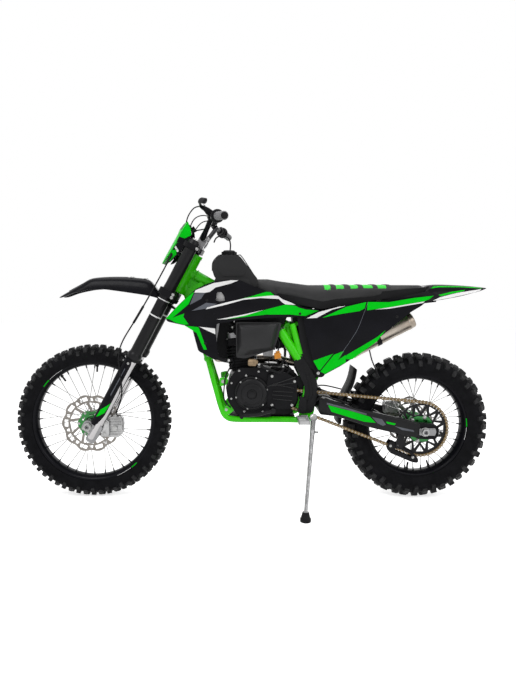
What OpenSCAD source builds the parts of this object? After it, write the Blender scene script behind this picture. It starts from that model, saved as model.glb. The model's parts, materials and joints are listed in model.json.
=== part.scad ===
/* [Stance] */
// Distance between the two wheel centres, mm
wheelbase = 1480; // [1470:1:1490]
// Lean to the left on the side stand, degrees
lean = 3; // [2.5:0.1:3.5]
// Rake of the steering axis from upright, degrees
rake = 27; // [26.5:0.1:27.5]

/* [Wheels] */
// Outer radius of the front tyre over its knobs, mm
front_radius = 347; // [343:1:350]
// Outer radius of the rear tyre over its knobs, mm
rear_radius = 337; // [333:1:340]
// Half width of the front tyre, mm
front_tyre_half = 45; // [42:1:46]
// Half width of the rear tyre, mm
rear_tyre_half = 57; // [52:1:58]
// Radius of the front rim at its spoke bed, mm
front_bed = 254; // [252:1:256]
// Radius of the rear rim at its spoke bed, mm
rear_bed = 216; // [214:1:218]
// Number of spokes in each wheel
spokes = 36; // [32, 36, 40]
// Radius of one spoke, mm
spoke_radius = 1.6; // [1.4:0.1:1.8]

/* [Fork and bars] */
// Distance from the bike's middle to each fork leg, mm
leg_y = 95; // [94:1:96]
// Distance of the legs ahead of the steering axis, mm
clamp_offset = 25; // [24:1:26]
// Distance of the front axle ahead of the steering axis, mm
axle_offset = 60; // [58:1:62]
// Radius of the upper fork tubes, mm
upper_tube = 27; // [26:1:28]
// Radius of the lower fork tubes, mm
lower_tube = 23.5; // [22:0.5:24]
// Half width of the handlebar, mm
bar_half = 400; // [380:5:410]

/* [Axles] */
// Radius of both wheel axles, mm
axle_radius = 10; // [10:0.5:11]
// Radius of the hole through the front axle, mm
front_axle_bore = 6.5; // [6:0.5:7]
// Radius of the hole through the rear axle, mm
rear_axle_bore = 7; // [6:0.5:7.5]
// Gap around a turning shaft, mm
running_gap = 0.05; // [0.03:0.01:0.1]

/* [Drive] */
// Pitch radius of the rear sprocket, mm
rear_pitch = 122; // [120:1:123]
// Pitch radius of the gearbox sprocket, mm
front_pitch = 33; // [32:1:34]
// Distance of the chain line from the bike's middle, mm
chain_y = 75; // [74:1:76]
// Half height of the chain's side plates, mm
chain_half = 7.5; // [7:0.5:8]

/* [Brakes] */
// Radius of the front brake disc, mm
front_disc_radius = 130; // [125:1:132]
// Radius of the rear brake disc, mm
rear_disc_radius = 115; // [110:1:118]
// Thickness of both discs, mm
disc_thickness = 4; // [3:0.5:4]

/* [Frame] */
// Radius of the backbone tube, mm
backbone_radius = 24; // [22:1:24]
// Radius of the down tube, mm
down_radius = 19; // [18:1:20]
// Radius of the cradle tubes, mm
cradle_radius = 13; // [12:1:14]
// Distance of the cradle tubes from the bike's middle, mm
cradle_y = 72; // [70:1:74]

/* [Side stand] */
// Radius of the stand's leg, mm
stand_radius = 9; // [8:0.5:10]
// Radius of the stand's rubber foot, mm
foot_radius = 22; // [20:1:24]

/* [Hidden] */
$fn = 64;

// Places on the upright bike: x to the rear, y to the right, z up, zero under the wheelbase's middle
front_centre = [-wheelbase / 2, 0, front_radius];
rear_centre = [wheelbase / 2, 0, rear_radius];
steer_foot = front_centre + axle_offset * [cos(rake), 0, -sin(rake)];
pivot = [215, 0, 470];
gear_shaft = [110, 0, 480];
stand_pivot = [240, -152, 402];
stand_axis = [-0.147, -0.910, 0.388];
stand_bolt = 6;
muffler_front = [412, 85, 650];
muffler_rear = [742, 85, 826];
muffler_run = (muffler_rear - muffler_front) / norm(muffler_rear - muffler_front);

// The leaning bike stands on its tyre crowns, and the origin is under the middle of its box
crown_drop = rear_tyre_half * (1 - cos(lean));
grip_radius = 17;
bar_end_z = 1228;
left_reach = bar_half * cos(lean) + (bar_end_z + grip_radius) * sin(lean);
right_reach = bar_half * cos(lean) - (bar_end_z - grip_radius) * sin(lean);
shift_x = 5;
shift_y = (left_reach - right_reach) / 2;

// Half widths of the two rims, and how far bead seat and flange stand out from the spoke bed
rim_half_front = 27;
rim_half_rear = 32;
bead_rise = 14;
flange_rise = 26;

// Chain: grooved on its inside, so the sprockets' teeth run in it
chain_width = 16;
tooth_width = 7;
tooth_gap = 1;

// Steering head, measured along the steering axis from the axle's level
lower_clamp = 660;
head_bottom = 694;
head_top = 884;
upper_clamp = 892;
stem_radius = 15;
leg_bottom = -48;
leg_join = 352;
leg_top = 926;

// Routes of the two hoses, in the upright bike's places
breather_route = [[-134, 0, 1128.5], [-133, 0, 1158], [-142, 0, 1184], [-168, 0, 1196], [-196, 0, 1186],
    [-208, 0, 1164]];
brake_route = [[-634, -78, 386], [-616, -84, 424], [-598, -104, 476], [-590, -136, 532],
    [-596, -143, 598], [-602, -138, 660], [-588, -124, 724], [-528, -112, 830], [-462, -104, 950],
    [-406, -92, 1060], [-372, -66, 1140], [-346, -14, 1194], [-316, 60, 1218], [-286, 128, 1234],
    [-262, 184, 1246]];
hose_radius = 3;
ring_step = 3;

// ---------------------------------------------------------------- shared shapes

module place() {
    translate([shift_x, shift_y, crown_drop]) rotate([lean, 0, 0]) children();
}

// The fork's own frame: x to the rear across the steering axis, z up along it
module steered() {
    translate(steer_foot) rotate([0, rake, 0]) children();
}

module both_sides() {
    children();
    mirror([0, 1, 0]) children();
}

// A straight round bar from a to b
module rod(a, b, r) {
    d = b - a;
    translate(a) rotate([0, acos(d[2] / norm(d)), atan2(d[1], d[0])]) cylinder(h = norm(d), r = r);
}

// A side outline in x and z, filled between two distances across the bike
module slab(outline, y0, y1) {
    translate([0, y1, 0]) rotate([90, 0, 0]) linear_extrude(y1 - y0) polygon(outline);
}

// A plan outline in x and y, filled between two heights
module tile(outline, z0, z1) {
    translate([0, 0, z0]) linear_extrude(z1 - z0) polygon(outline);
}

// A round bar across the bike, between two distances
module across(at, r, y0, y1) {
    translate([at[0], y1, at[2]]) rotate([90, 0, 0]) cylinder(h = y1 - y0, r = r);
}

// A ring turned about a wheel's axle
module turned(centre, outline) {
    translate(centre) rotate([90, 0, 0]) rotate_extrude($fn = 128) polygon(outline);
}

// Outline of a belt round two circles in the side view: an arc on each, joined by their tangents
module belt(r_front, r_rear) {
    a = [gear_shaft[0], gear_shaft[2]];
    b = [rear_centre[0], rear_centre[2]];
    heading = atan2(b[1] - a[1], b[0] - a[0]);
    spread = acos((r_front - r_rear) / norm(b - a));
    steps = 40;
    polygon(concat(
        [for (k = [0:steps]) let (t = heading - spread + 2 * spread * k / steps)
            b + r_rear * [cos(t), sin(t)]],
        [for (k = [0:steps / 2]) let (t = heading + spread + (360 - 2 * spread) * 2 * k / steps)
            a + r_front * [cos(t), sin(t)]]));
}

function catmull(a, b, c, d, t) = 0.5 * (2 * b + (c - a) * t + (2 * a - 5 * b + 4 * c - d) * t * t
    + (3 * b - a - 3 * c + d) * t * t * t);
function ring_centres(route) = [for (i = [0:len(route) - 2]) for (k = [0:ring_step - 1])
    catmull(route[max(i - 1, 0)], route[i], route[i + 1], route[min(i + 2, len(route) - 1)],
        k / ring_step), route[len(route) - 1]];
function unit(v) = v / norm(v);

// A round tube along a smooth curve through the route's points, never running along the given side
module bent_tube(route, r, side, sides = 16) {
    centres = ring_centres(route);
    last = len(centres) - 1;
    points = [for (i = [0:last]) let (
        run = unit(centres[min(i + 1, last)] - centres[max(i - 1, 0)]),
        u = unit(cross(run, side)),
        v = cross(run, u))
        for (k = [0:sides - 1]) centres[i] + r * (cos(360 * k / sides) * u + sin(360 * k / sides) * v)];
    walls = [for (i = [0:last - 1]) for (k = [0:sides - 1])
        [i * sides + k, (i + 1) * sides + k, (i + 1) * sides + (k + 1) % sides,
            i * sides + (k + 1) % sides]];
    ends = [[for (k = [0:sides - 1]) k], [for (k = [sides - 1:-1:0]) last * sides + k]];
    polyhedron(points, concat(walls, ends), convexity = 6);
}

// ---------------------------------------------------------------- frame and engine

module main_frame() color("limegreen") {
    head_middle = steer_foot + 800 * [sin(rake), 0, cos(rake)];
    head_low = steer_foot + 752 * [sin(rake), 0, cos(rake)];
    split = [-226, 0, 640];
    seat_post = [130, 0, 790];
    difference() {
        union() {
            steered() translate([0, 0, head_bottom]) cylinder(h = head_top - head_bottom, r = 29);
            rod(head_middle, seat_post, backbone_radius);
            rod(head_low, split, down_radius);
            slab([[-318, 1018], [-352, 962], [-306, 868], [-282, 850], [-250, 880], [-210, 950],
                [-250, 985]], -7, 7);
            across(split, 16, -44, 44);
            across(seat_post, 18, -62, 62);
        }
        steered() translate([0, 0, head_bottom - 1])
            cylinder(h = head_top - head_bottom + 2, r = stem_radius + running_gap);
    }
    both_sides() {
        bent_tube([[-226, -38, 640], [-184, -cradle_y, 500], [-160, -cradle_y, 420],
            [-138, -cradle_y, 384], [-96, -cradle_y, 373], [30, -cradle_y, 373],
            [150, -cradle_y, 373], [190, -85, 375]], cradle_radius, [0, 1, 0]);
        slab([[176, 366], [232, 366], [252, 420], [256, 545], [190, 664], [162, 642], [206, 540],
            [188, 420]], -97, -86);
        bent_tube([[180, -80, 652], [146, -72, 700], [130, -50, 790]], 15, [0, 1, 0]);
        rod([162, -77, 682], [100, -58, 762], 13);
        bent_tube([[130, -50, 790], [300, -60, 838], [690, -50, 904]], 10, [0, 1, 0]);
        rod([196, -80, 655], [560, -56, 872], 10);
    }
    rod([690, -56, 904], [690, 56, 904], 10);
    across(pivot, 9, -97.5, 97.5);
    // Bracket and bolt that carry the side stand
    rod([228, -90, 380], stand_pivot - 30 * stand_axis, 10);
    rod(stand_pivot - 38 * stand_axis, stand_pivot - 17 * stand_axis, 14);
    rod(stand_pivot - 34 * stand_axis, stand_pivot + 20 * stand_axis, stand_bolt);
}

module engine() color("dimgray") {
    slab([[-138, 500], [-128, 455], [-86, 402], [58, 402], [58, 604], [-92, 604]], -92, 92);
    slab([[57, 402], [150, 404], [184, 452], [176, 575], [120, 604], [57, 604]], -58, 92);
    barrel();
}

module barrel() translate([-62, 0, 600]) rotate([0, -8, 0]) translate([-68, -62, -6])
    cube([132, 124, 176]);

module engine_covers() color("black") {
    across([-25, 0, 500], 66, -118, -92);
    across([-25, 0, 500], 52, -124, -118);
    across([-18, 0, 500], 70, 92, 116);
    slab([[-90, 430], [120, 424], [140, 470], [110, 540], [0, 560], [-80, 540]], 92, 108);
}

module sprocket_cover() color("black") {
    slab([[45, 436], [150, 430], [172, 470], [166, 560], [120, 590], [45, 580]], -108, -92);
}

module exhaust_header() color("darkgray") difference() {
    bent_tube([[-132, 26, 656], [-180, 42, 642], [-186, 66, 627], [-144, 90, 624], [20, 94, 626],
        [90, 74, 628], [176, 54, 612], [290, 62, 606], muffler_front - 59 * muffler_run,
        muffler_front - 30 * muffler_run, muffler_front], 17, [0, 0, 1]);
    barrel();
}

module muffler() color("gray") {
    rod(muffler_front, muffler_front + 30 * muffler_run, 26);
    difference() {
        rod(muffler_front + 28 * muffler_run, muffler_rear, 41);
        rod(muffler_rear - 70 * muffler_run, muffler_rear + 20 * muffler_run, 22);
        translate(muffler_rear + [12, 0, -8]) rotate([0, 16, 0]) cube([30, 100, 120], center = true);
    }
}

module radiators() color("silver")
    both_sides() translate([-228, -142, 664]) rotate([0, 8, 0]) cube([34, 88, 176]);

// ---------------------------------------------------------------- tank, seat and bodywork

module fuel_tank() color("black") {
    slab([[-200, 1003], [-212, 1064], [-176, 1106], [-100, 1106], [-24, 1018], [-42, 962]], -62, 62);
    both_sides() slab([[-198, 1003], [-188, 880], [-60, 850], [40, 862], [60, 890], [-34, 950],
        [-46, 956]], -112, -34);
}

module tank_cap() color("dimgray") {
    translate([-138, 0, 1106]) cylinder(h = 16, r = 31);
    translate([-138, 0, 1122]) cylinder(h = 6, r = 24);
}

module breather_hose() color("black") bent_tube(breather_route, hose_radius, [0, 1, 0], 8);

module seat() color("dimgray") intersection() {
    slab([[-17, 1010], [-34, 964], [62, 906], [200, 880], [274, 872], [352, 896], [469, 914],
        [721, 963], [752, 986], [500, 982], [219, 976], [90, 992]], -100, 100);
    tile([[-60, -44], [60, -62], [180, -84], [300, -95], [500, -98], [760, -80],
        [760, 80], [500, 98], [300, 95], [180, 84], [60, 62], [-60, 44]], 800, 1100);
}

module shroud() {
    turn = 7.4;
    hinge_x = 195;
    translate([hinge_x, -108, 0]) rotate([0, 0, turn]) translate([-hinge_x, 0, 0])
        slab([[-401, 826], [-345, 888], [-278, 951], [-200, 986], [-94, 989], [62, 935], [195, 876],
            [196, 841], [-97, 822], [-188, 808], [-176, 655], [-227, 671], [-264, 690],
            [-290, 796]], -6, 0);
}

module left_shroud() color("limegreen") shroud();

module right_shroud() color("limegreen") mirror([0, 1, 0]) shroud();

module air_box() color("black") hull() {
    slab([[-103, 812], [98, 812], [66, 694], [-60, 652], [-99, 656]], -112, -70);
    slab([[-86, 790], [70, 800], [48, 704], [-54, 688], [-82, 700]], -136, -70);
}

module side_panel() {
    turn = -4;
    hinge_x = 192;
    translate([hinge_x, -112, 0]) rotate([0, 0, turn]) translate([-hinge_x, 0, 0])
        slab([[192, 838], [268, 863], [352, 887], [469, 905], [741, 909], [660, 869], [447, 684],
            [273, 576], [238, 648]], -5, 0);
}

module left_side_panel() color("black") side_panel();

module right_side_panel() color("black") mirror([0, 1, 0]) side_panel();

module rear_fender() color("black") intersection() {
    union() {
        slab([[600, 925], [716, 953], [728, 961], [762, 991], [1040, 981], [1043, 975], [764, 984],
            [734, 955], [720, 946], [600, 918]], -120, 120);
        both_sides() slab([[520, 911], [744, 911], [994, 955], [1041, 977], [764, 987], [731, 958],
            [716, 950]], -120, -66);
    }
    tile([[500, -126], [640, -128], [800, -104], [1043, -72], [1043, 72], [800, 104], [640, 128],
        [500, 126]], 900, 1000);
}

module rear_mudguard() color("black") {
    intersection() {
        turned(rear_centre, [[368, -62], [374, -62], [374, 62], [368, 62]]);
        slab([[380, 480], [330, 480], [330, 800], [560, 800], [640, 740], [600, 640], [420, 470]],
            -70, 70);
    }
}

// ---------------------------------------------------------------- rear end

module swingarm() color("black") difference() {
    union() {
        across(pivot, 24, -60, 74);
        slab([[222, 446], [300, 410], [300, 474], [222, 494]], -60, 60);
        slab([[272, 408], [344, 402], [344, 462], [272, 476]], -128, 128);
        both_sides() slab([[280, 484], [427, 440], [640, 394], [700, 378], [792, 366], [800, 337],
            [792, 306], [705, 308], [501, 350], [386, 388], [280, 418]], -128, -98);
    }
    across(rear_centre, axle_radius, -140, 140);
    across(pivot, 9, -100, 100);
}

module shock_absorber() color("gold") {
    rod([142, 0, 760], [180, 0, 684], 22);
    rod([176, 0, 692], [262, 0, 520], 31);
    rod([256, 0, 532], [277, 0, 490], 14);
}

module chain() color("goldenrod") difference() {
    translate([0, -chain_y + chain_width / 2, 0]) rotate([90, 0, 0]) linear_extrude(chain_width)
        difference() {
            belt(front_pitch + chain_half, rear_pitch + chain_half);
            belt(front_pitch - chain_half, rear_pitch - chain_half);
        }
    groove = tooth_width + 2 * tooth_gap;
    translate([0, -chain_y + groove / 2, 0]) rotate([90, 0, 0]) linear_extrude(groove)
        belt(front_pitch - 3, rear_pitch - 3);
}

module chain_guide() color("black") difference() {
    union() {
        slab([[588, 258], [598, 230], [700, 188], [726, 184], [728, 206], [708, 228], [650, 258],
            [598, 284]], -94, -58);
        slab([[622, 264], [652, 250], [664, 336], [644, 340]], -98, -90);
    }
    slab([[560, 260], [694, 210], [740, 198], [740, 360], [560, 360]], -89, -61);
}

module frame_guards() color("black") both_sides()
    slab([[152, 638], [188, 668], [260, 562], [260, 470], [242, 412], [196, 408], [206, 530]],
        -104, -98);

module footpegs() color("silver") both_sides() {
    across([206, 0, 391], 9, -112, -97);
    slab([[170, 384], [218, 384], [218, 402], [170, 402]], -206, -110);
}

module foot_controls() color("silver") {
    // Gear lever on the left
    rod([66, -92, 424], [66, -130, 424], 8);
    bent_tube([[66, -126, 424], [10, -132, 412], [-72, -146, 408]], 6, [0, 0, 1]);
    rod([-72, -132, 408], [-72, -172, 408], 8);
    // Brake pedal on the right
    bent_tube([[150, 116, 366], [100, 126, 352], [20, 134, 366], [-40, 142, 388]], 7, [0, 0, 1]);
    rod([150, 87, 366], [150, 124, 366], 9);
    rod([-40, 126, 388], [-40, 172, 388], 9);
    // Kick start lever on the right
    rod([96, 108, 500], [96, 140, 500], 12);
    bent_tube([[96, 136, 500], [132, 142, 560], [140, 150, 660]], 8, [0, 1, 0]);
    rod([132, 150, 664], [196, 150, 680], 9);
}

module rear_caliper() color("silver") difference() {
    union() {
        translate([612, 60, 366]) cube([70, 38, 62]);
        slab([[660, 376], [728, 356], [728, 376], [660, 404]], 88, 98);
    }
    across(rear_centre, rear_disc_radius + 6, 70, 84);
}

module rear_axle() color("silver") difference() {
    union() {
        across(rear_centre, axle_radius, -142, 142);
        both_sides() across(rear_centre, 17, -140, -128);
        both_sides() across(rear_centre, 16, -98, -82);
    }
    across(rear_centre, rear_axle_bore, -150, 150);
}

// ---------------------------------------------------------------- steered front end

module clamp(s0, s1, reach) difference() {
    union() {
        both_sides() translate([-clamp_offset, -leg_y, s0]) cylinder(h = s1 - s0, r = upper_tube + 9);
        translate([-clamp_offset - 24, -leg_y, s0]) cube([24 + clamp_offset + reach, 2 * leg_y, s1 - s0]);
        both_sides() translate([-clamp_offset, -leg_y - 20, s0]) cube([42, 40, s1 - s0]);
    }
    both_sides() translate([-clamp_offset, -leg_y, s0 - 1])
        cylinder(h = s1 - s0 + 2, r = upper_tube);
}

module triple_clamps() color("black") steered() {
    clamp(lower_clamp, lower_clamp + 30, 22);
    clamp(upper_clamp, upper_clamp + 22, 20);
    translate([0, 0, lower_clamp + 1]) cylinder(h = upper_clamp + 34 - lower_clamp, r = stem_radius);
    both_sides() difference() {
        translate([-20, 26, upper_clamp + 21]) cube([40, 30, 62]);
        translate([0, 20, 960]) rotate([-90, 0, 0]) cylinder(h = 50, r = 14);
    }
}

module fork_upper_tubes() color("black") steered() both_sides()
    translate([-clamp_offset, -leg_y, 0]) {
        translate([0, 0, leg_join]) cylinder(h = leg_top - leg_join, r = upper_tube);
        translate([0, 0, leg_join]) cylinder(h = 26, r = upper_tube + 5);
        translate([0, 0, leg_top]) cylinder(h = 8, r = upper_tube - 5);
    }

module fork_lower_tubes() color("silver") steered() both_sides() difference() {
    union() {
        translate([-clamp_offset, -leg_y, leg_bottom]) cylinder(h = leg_join - leg_bottom, r = lower_tube);
        translate([-axle_offset, -leg_y - 22, 0]) rotate([-90, 0, 0]) cylinder(h = 40, r = 21);
        translate([-axle_offset, -leg_y - 22, -21]) cube([axle_offset - clamp_offset, 40, 42]);
    }
    translate([-axle_offset, -leg_y - 30, 0]) rotate([-90, 0, 0]) cylinder(h = 60, r = axle_radius);
}

module fork_guards() color("black") steered() both_sides() intersection() {
    translate([-clamp_offset, -leg_y, 24]) difference() {
        cylinder(h = leg_join - 30, r = 34);
        translate([0, 0, -1]) cylinder(h = leg_join, r = 29);
    }
    translate([-90, -140, 0]) cube([78, 54, leg_join]);
}

module front_axle() color("silver") difference() {
    union() {
        across(front_centre, axle_radius, -124, 124);
        both_sides() across(front_centre, 15, -124, -117);
        both_sides() across(front_centre, 14, -77, -68);
    }
    across(front_centre, front_axle_bore, -130, 130);
}

module front_caliper() color("silver") difference() {
    union() {
        translate([-664, -88, 292]) cube([66, 51, 92]);
        slab([[-684, 300], [-658, 300], [-658, 372], [-666, 372]], -106, -76);
    }
    across(front_centre, front_disc_radius + 6, -67, -53);
    steered() translate([-clamp_offset, -leg_y, leg_bottom - 20]) cylinder(h = 300, r = lower_tube);
}

module front_fender() color("black") difference() {
    slab([[-888, 908], [-834, 940], [-752, 992], [-600, 1002], [-484, 990], [-446, 934], [-400, 884],
        [-364, 862], [-360, 853], [-404, 868], [-449, 914], [-724, 944], [-830, 926], [-884, 902]],
        -62, 62);
    slab([[-884, 890], [-828, 934], [-750, 986], [-600, 996], [-488, 984], [-452, 930], [-404, 878],
        [-350, 850], [-420, 780]], -57, 57);
}

module number_plate() color("limegreen") steered() {
    translate([-112, 0, 0]) rotate([90, 0, 90]) linear_extrude(5)
        polygon([[-58, 776], [-86, 840], [-96, 920], [-84, 992], [84, 992], [96, 920], [86, 840],
            [58, 776]]);
    both_sides() translate([-108, -80, 902]) rotate([0, 90, 0]) cylinder(h = 47.5, r = 6);
}

// The bar's outer stretch is straight, from its bend to its end
function bar_at(y) = [6 + 60 * (y - 205) / 193, y, 1049 + 4 * (y - 205) / 193];
bar_side = [bar_at(bar_half - 2), bar_at(300), bar_at(232), bar_at(222), [4.5, 192, 1040], [2.5, 140, 999],
    [0.5, 100, 967], [0, 84, 960]];

module handlebar() color("black") steered() {
    rod([0, -84, 960], [0, 84, 960], 14);
    bent_tube(concat(bar_side, [for (i = [len(bar_side) - 1:-1:0])
        [bar_side[i][0], -bar_side[i][1], bar_side[i][2]]]), 11, [1, 0, 0]);
}

module grips() color("gray") steered() both_sides() difference() {
    union() {
        rod(bar_at(290), bar_at(bar_half - 2), grip_radius);
        rod(bar_at(290), bar_at(297), 27);
    }
    rod(bar_at(205), bar_at(bar_half), 11.2);
}

module hand_levers() color("dimgray") steered() both_sides() {
    difference() {
        union() {
            rod(bar_at(240), bar_at(266), 18);
            rod([6, 250, 1050], [-40, 247, 1056], 9);
        }
        rod(bar_at(205), bar_at(bar_half), 11.2);
    }
    bent_tube([[-40, 247, 1056], [-50, 304, 1064], [-20, 384, 1068]], 6, [1, 0, 0]);
}

module front_brake_hose() color("black") bent_tube(brake_route, hose_radius, [1, 0, 0], 8);

// ---------------------------------------------------------------- wheels

function mirrored(half) = concat(half, [for (i = [len(half) - 1:-1:0]) [half[i][0], -half[i][1]]]);

// The rim is a channel: spoke bed, bead seat and flange
function rim_outline(bed, w) = mirrored([[bed, 0.4 * w], [bed + 10, 0.86 * w], [bed + bead_rise - 1, w],
    [bed + flange_rise, w], [bed + flange_rise, w - 4], [bed + bead_rise, w - 5], [bed + 8, 0.5 * w],
    [bed + 5, 0.35 * w]]);

// The tyre is a hollow shell: its bead on the rim, a bulging wall and a round crown
module tyre(centre, bed, w, outer, half) color("black") turned(centre,
    concat([[bed + bead_rise, w - 12], [bed + bead_rise, w - 5], [bed + flange_rise, w - 4],
            [bed + flange_rise + 2, w + 3]],
        [for (a = [0:15:180]) [outer - half + half * sin(a), half * cos(a)]],
        [[bed + flange_rise + 2, -w - 3], [bed + flange_rise, -w + 4], [bed + bead_rise, -w + 5],
            [bed + bead_rise, -w + 12]],
        [for (a = [180:-15:0]) [outer - half + (half - 13) * sin(a), (half - 13) * cos(a)]]));

// Laced spokes: each flange sends every other spoke forwards, from its other face
module spoke_set(centre, bed, hole_radius, faces) color("silver")
    for (i = [0:spokes - 1]) {
        side = i % 2 == 0 ? 1 : -1;
        forward = floor(i / 2) % 2 == 0;
        at_rim = 360 * i / spokes;
        at_hub = at_rim + (forward ? 52 : -52);
        hub_y = side * (forward ? faces[0] : faces[1]);
        rod(centre + [hole_radius * cos(at_hub), hub_y, hole_radius * sin(at_hub)],
            centre + [(bed + 2) * cos(at_rim), side * 4, (bed + 2) * sin(at_rim)], spoke_radius);
    }

module front_tyre() tyre(front_centre, front_bed, rim_half_front, front_radius, front_tyre_half);

module front_rim() color("black") turned(front_centre, rim_outline(front_bed, rim_half_front));

module front_spokes() spoke_set(front_centre, front_bed, 33, [37, 27]);

module front_hub() color("limegreen") difference() {
    union() {
        across(front_centre, 24, -58, 58);
        both_sides() across(front_centre, 38, -41, -23);
        across(front_centre, 52, -58, -41);
    }
    across(front_centre, axle_radius + running_gap, -70, 70);
}

module front_disc() color("silver") difference() {
    across(front_centre, front_disc_radius, -58 - disc_thickness, -58);
    across(front_centre, 30, -70, -50);
    for (i = [0:9]) translate(front_centre) rotate([0, 36 * i, 0]) {
        across([80, 0, 0], 15, -70, -50);
        across([112, 0, 0], 5, -70, -50);
    }
}

module rear_tyre() tyre(rear_centre, rear_bed, rim_half_rear, rear_radius, rear_tyre_half);

module rear_rim() color("black") turned(rear_centre, rim_outline(rear_bed, rim_half_rear));

module rear_spokes() spoke_set(rear_centre, rear_bed, 47, [41, 31]);

module rear_hub() color("limegreen") difference() {
    union() {
        across(rear_centre, 30, -71.5, 75);
        both_sides() across(rear_centre, 52, -45, -27);
        across(rear_centre, 62, -71.5, -56);
        across(rear_centre, 46, 62, 75);
    }
    across(rear_centre, axle_radius + running_gap, -80, 80);
}

module rear_sprocket() color("dimgray") difference() {
    across(rear_centre, rear_pitch - 4, -71.5 - tooth_width, -71.5);
    across(rear_centre, 31, -90, -60);
    for (i = [0:5]) translate(rear_centre) rotate([0, 60 * i, 0]) across([86, 0, 0], 19, -90, -60);
}

module rear_disc() color("silver") difference() {
    across(rear_centre, rear_disc_radius, 75, 75 + disc_thickness);
    across(rear_centre, 30, 70, 90);
    for (i = [0:7]) translate(rear_centre) rotate([0, 45 * i, 0]) across([72, 0, 0], 14, 70, 90);
}

// ---------------------------------------------------------------- side stand

// The foot's place on the floor, and the leg's lower end, both on the leaning bike
foot_x = 193;
foot_y = -307;
leg_end = [foot_x, (foot_y + 4) * cos(lean) + 30 * sin(lean), 30 * cos(lean) - (foot_y + 4) * sin(lean)];

module side_stand() color("silver") {
    difference() {
        union() {
            rod(stand_pivot, leg_end, stand_radius);
            rod(stand_pivot - 15 * stand_axis, stand_pivot + 15 * stand_axis, 15);
        }
        rod(stand_pivot - 20 * stand_axis, stand_pivot + 20 * stand_axis, stand_bolt + running_gap);
    }
}

module stand_foot() color("black") translate([foot_x + shift_x, foot_y + shift_y, 0]) difference() {
    union() {
        cylinder(h = 12, r = foot_radius);
        translate([0, 0, 12]) cylinder(h = 26, r1 = foot_radius - 2, r2 = 13);
    }
    translate([-foot_x - shift_x, -foot_y - shift_y, 0]) place()
        rod(stand_pivot, leg_end, stand_radius);
}

place() main_frame();
place() engine();
place() engine_covers();
place() sprocket_cover();
place() exhaust_header();
place() muffler();
place() radiators();
place() fuel_tank();
place() tank_cap();
place() breather_hose();
place() seat();
place() left_shroud();
place() right_shroud();
place() air_box();
place() left_side_panel();
place() right_side_panel();
place() rear_fender();
place() rear_mudguard();
place() swingarm();
place() shock_absorber();
place() chain();
place() chain_guide();
place() frame_guards();
place() footpegs();
place() foot_controls();
place() rear_caliper();
place() rear_axle();
place() triple_clamps();
place() fork_upper_tubes();
place() fork_lower_tubes();
place() fork_guards();
place() front_axle();
place() front_caliper();
place() front_fender();
place() number_plate();
place() handlebar();
place() grips();
place() hand_levers();
place() front_brake_hose();
place() front_tyre();
place() front_rim();
place() front_spokes();
place() front_hub();
place() front_disc();
place() rear_tyre();
place() rear_rim();
place() rear_spokes();
place() rear_hub();
place() rear_sprocket();
place() rear_disc();
place() side_stand();
stand_foot();
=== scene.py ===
"""Bodywork, running gear and finishes of a dirt bike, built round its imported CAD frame."""

import json
import math

import bmesh
import bpy
import numpy as np
from mathutils import Matrix, Vector, geometry


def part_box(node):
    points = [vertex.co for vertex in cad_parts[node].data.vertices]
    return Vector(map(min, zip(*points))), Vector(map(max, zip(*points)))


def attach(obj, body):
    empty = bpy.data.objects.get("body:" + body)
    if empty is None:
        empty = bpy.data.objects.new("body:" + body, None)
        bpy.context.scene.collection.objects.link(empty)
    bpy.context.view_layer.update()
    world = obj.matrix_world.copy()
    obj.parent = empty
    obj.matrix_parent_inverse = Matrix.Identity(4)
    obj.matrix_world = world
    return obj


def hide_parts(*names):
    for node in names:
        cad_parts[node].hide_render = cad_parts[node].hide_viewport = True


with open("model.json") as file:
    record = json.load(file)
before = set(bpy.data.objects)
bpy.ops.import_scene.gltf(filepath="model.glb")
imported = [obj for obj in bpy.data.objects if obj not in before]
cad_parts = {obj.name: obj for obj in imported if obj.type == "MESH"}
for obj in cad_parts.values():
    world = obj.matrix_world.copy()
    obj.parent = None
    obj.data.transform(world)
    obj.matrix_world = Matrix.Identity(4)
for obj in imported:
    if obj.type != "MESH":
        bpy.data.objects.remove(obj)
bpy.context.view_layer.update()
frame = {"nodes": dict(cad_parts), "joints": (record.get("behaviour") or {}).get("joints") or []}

bl_info = {
    "name": "Dirt Bike",
    "version": (1, 0, 0),
    "blender": (4, 5, 0),
    "location": "View3D > Sidebar > Dirt Bike",
    "description": "Builds the bodywork, running gear and finishes of a dirt bike round its frame",
    "category": "Object",
}

# ---------------------------------------------------------------- places, from the frame

MM = 0.001
JOINTS = {joint["name"]: joint for joint in frame["joints"]}
REAR_ROW = np.array(JOINTS["rear_wheel_spin"]["pos_m"]) / MM
FRONT_ROW = np.array(JOINTS["front_wheel_spin"]["pos_m"]) / MM
HEAD_ROW = np.array(JOINTS["steering"]["pos_m"]) / MM
WHEEL_AXIS = JOINTS["rear_wheel_spin"]["axis"]
LEAN = math.atan2(WHEEL_AXIS[2], WHEEL_AXIS[1])
RAKE = math.asin(JOINTS["steering"]["axis"][0])
FRONT_RADIUS = (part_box("front_tyre")[1].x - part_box("front_tyre")[0].x) / 2 / MM
REAR_RADIUS = (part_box("rear_tyre")[1].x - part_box("rear_tyre")[0].x) / 2 / MM
WHEELBASE = REAR_ROW[0] - FRONT_ROW[0]
REAR_HUB = np.array([WHEELBASE / 2, 0, REAR_RADIUS])
FRONT_HUB = np.array([-WHEELBASE / 2, 0, FRONT_RADIUS])
UPRIGHT = np.array([[1, 0, 0], [0, math.cos(LEAN), -math.sin(LEAN)], [0, math.sin(LEAN), math.cos(LEAN)]])
STEER_FOOT = REAR_HUB + (HEAD_ROW - REAR_ROW) @ UPRIGHT
TILT = np.array([[math.cos(RAKE), 0, math.sin(RAKE)], [0, 1, 0], [-math.sin(RAKE), 0, math.cos(RAKE)]])
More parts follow.
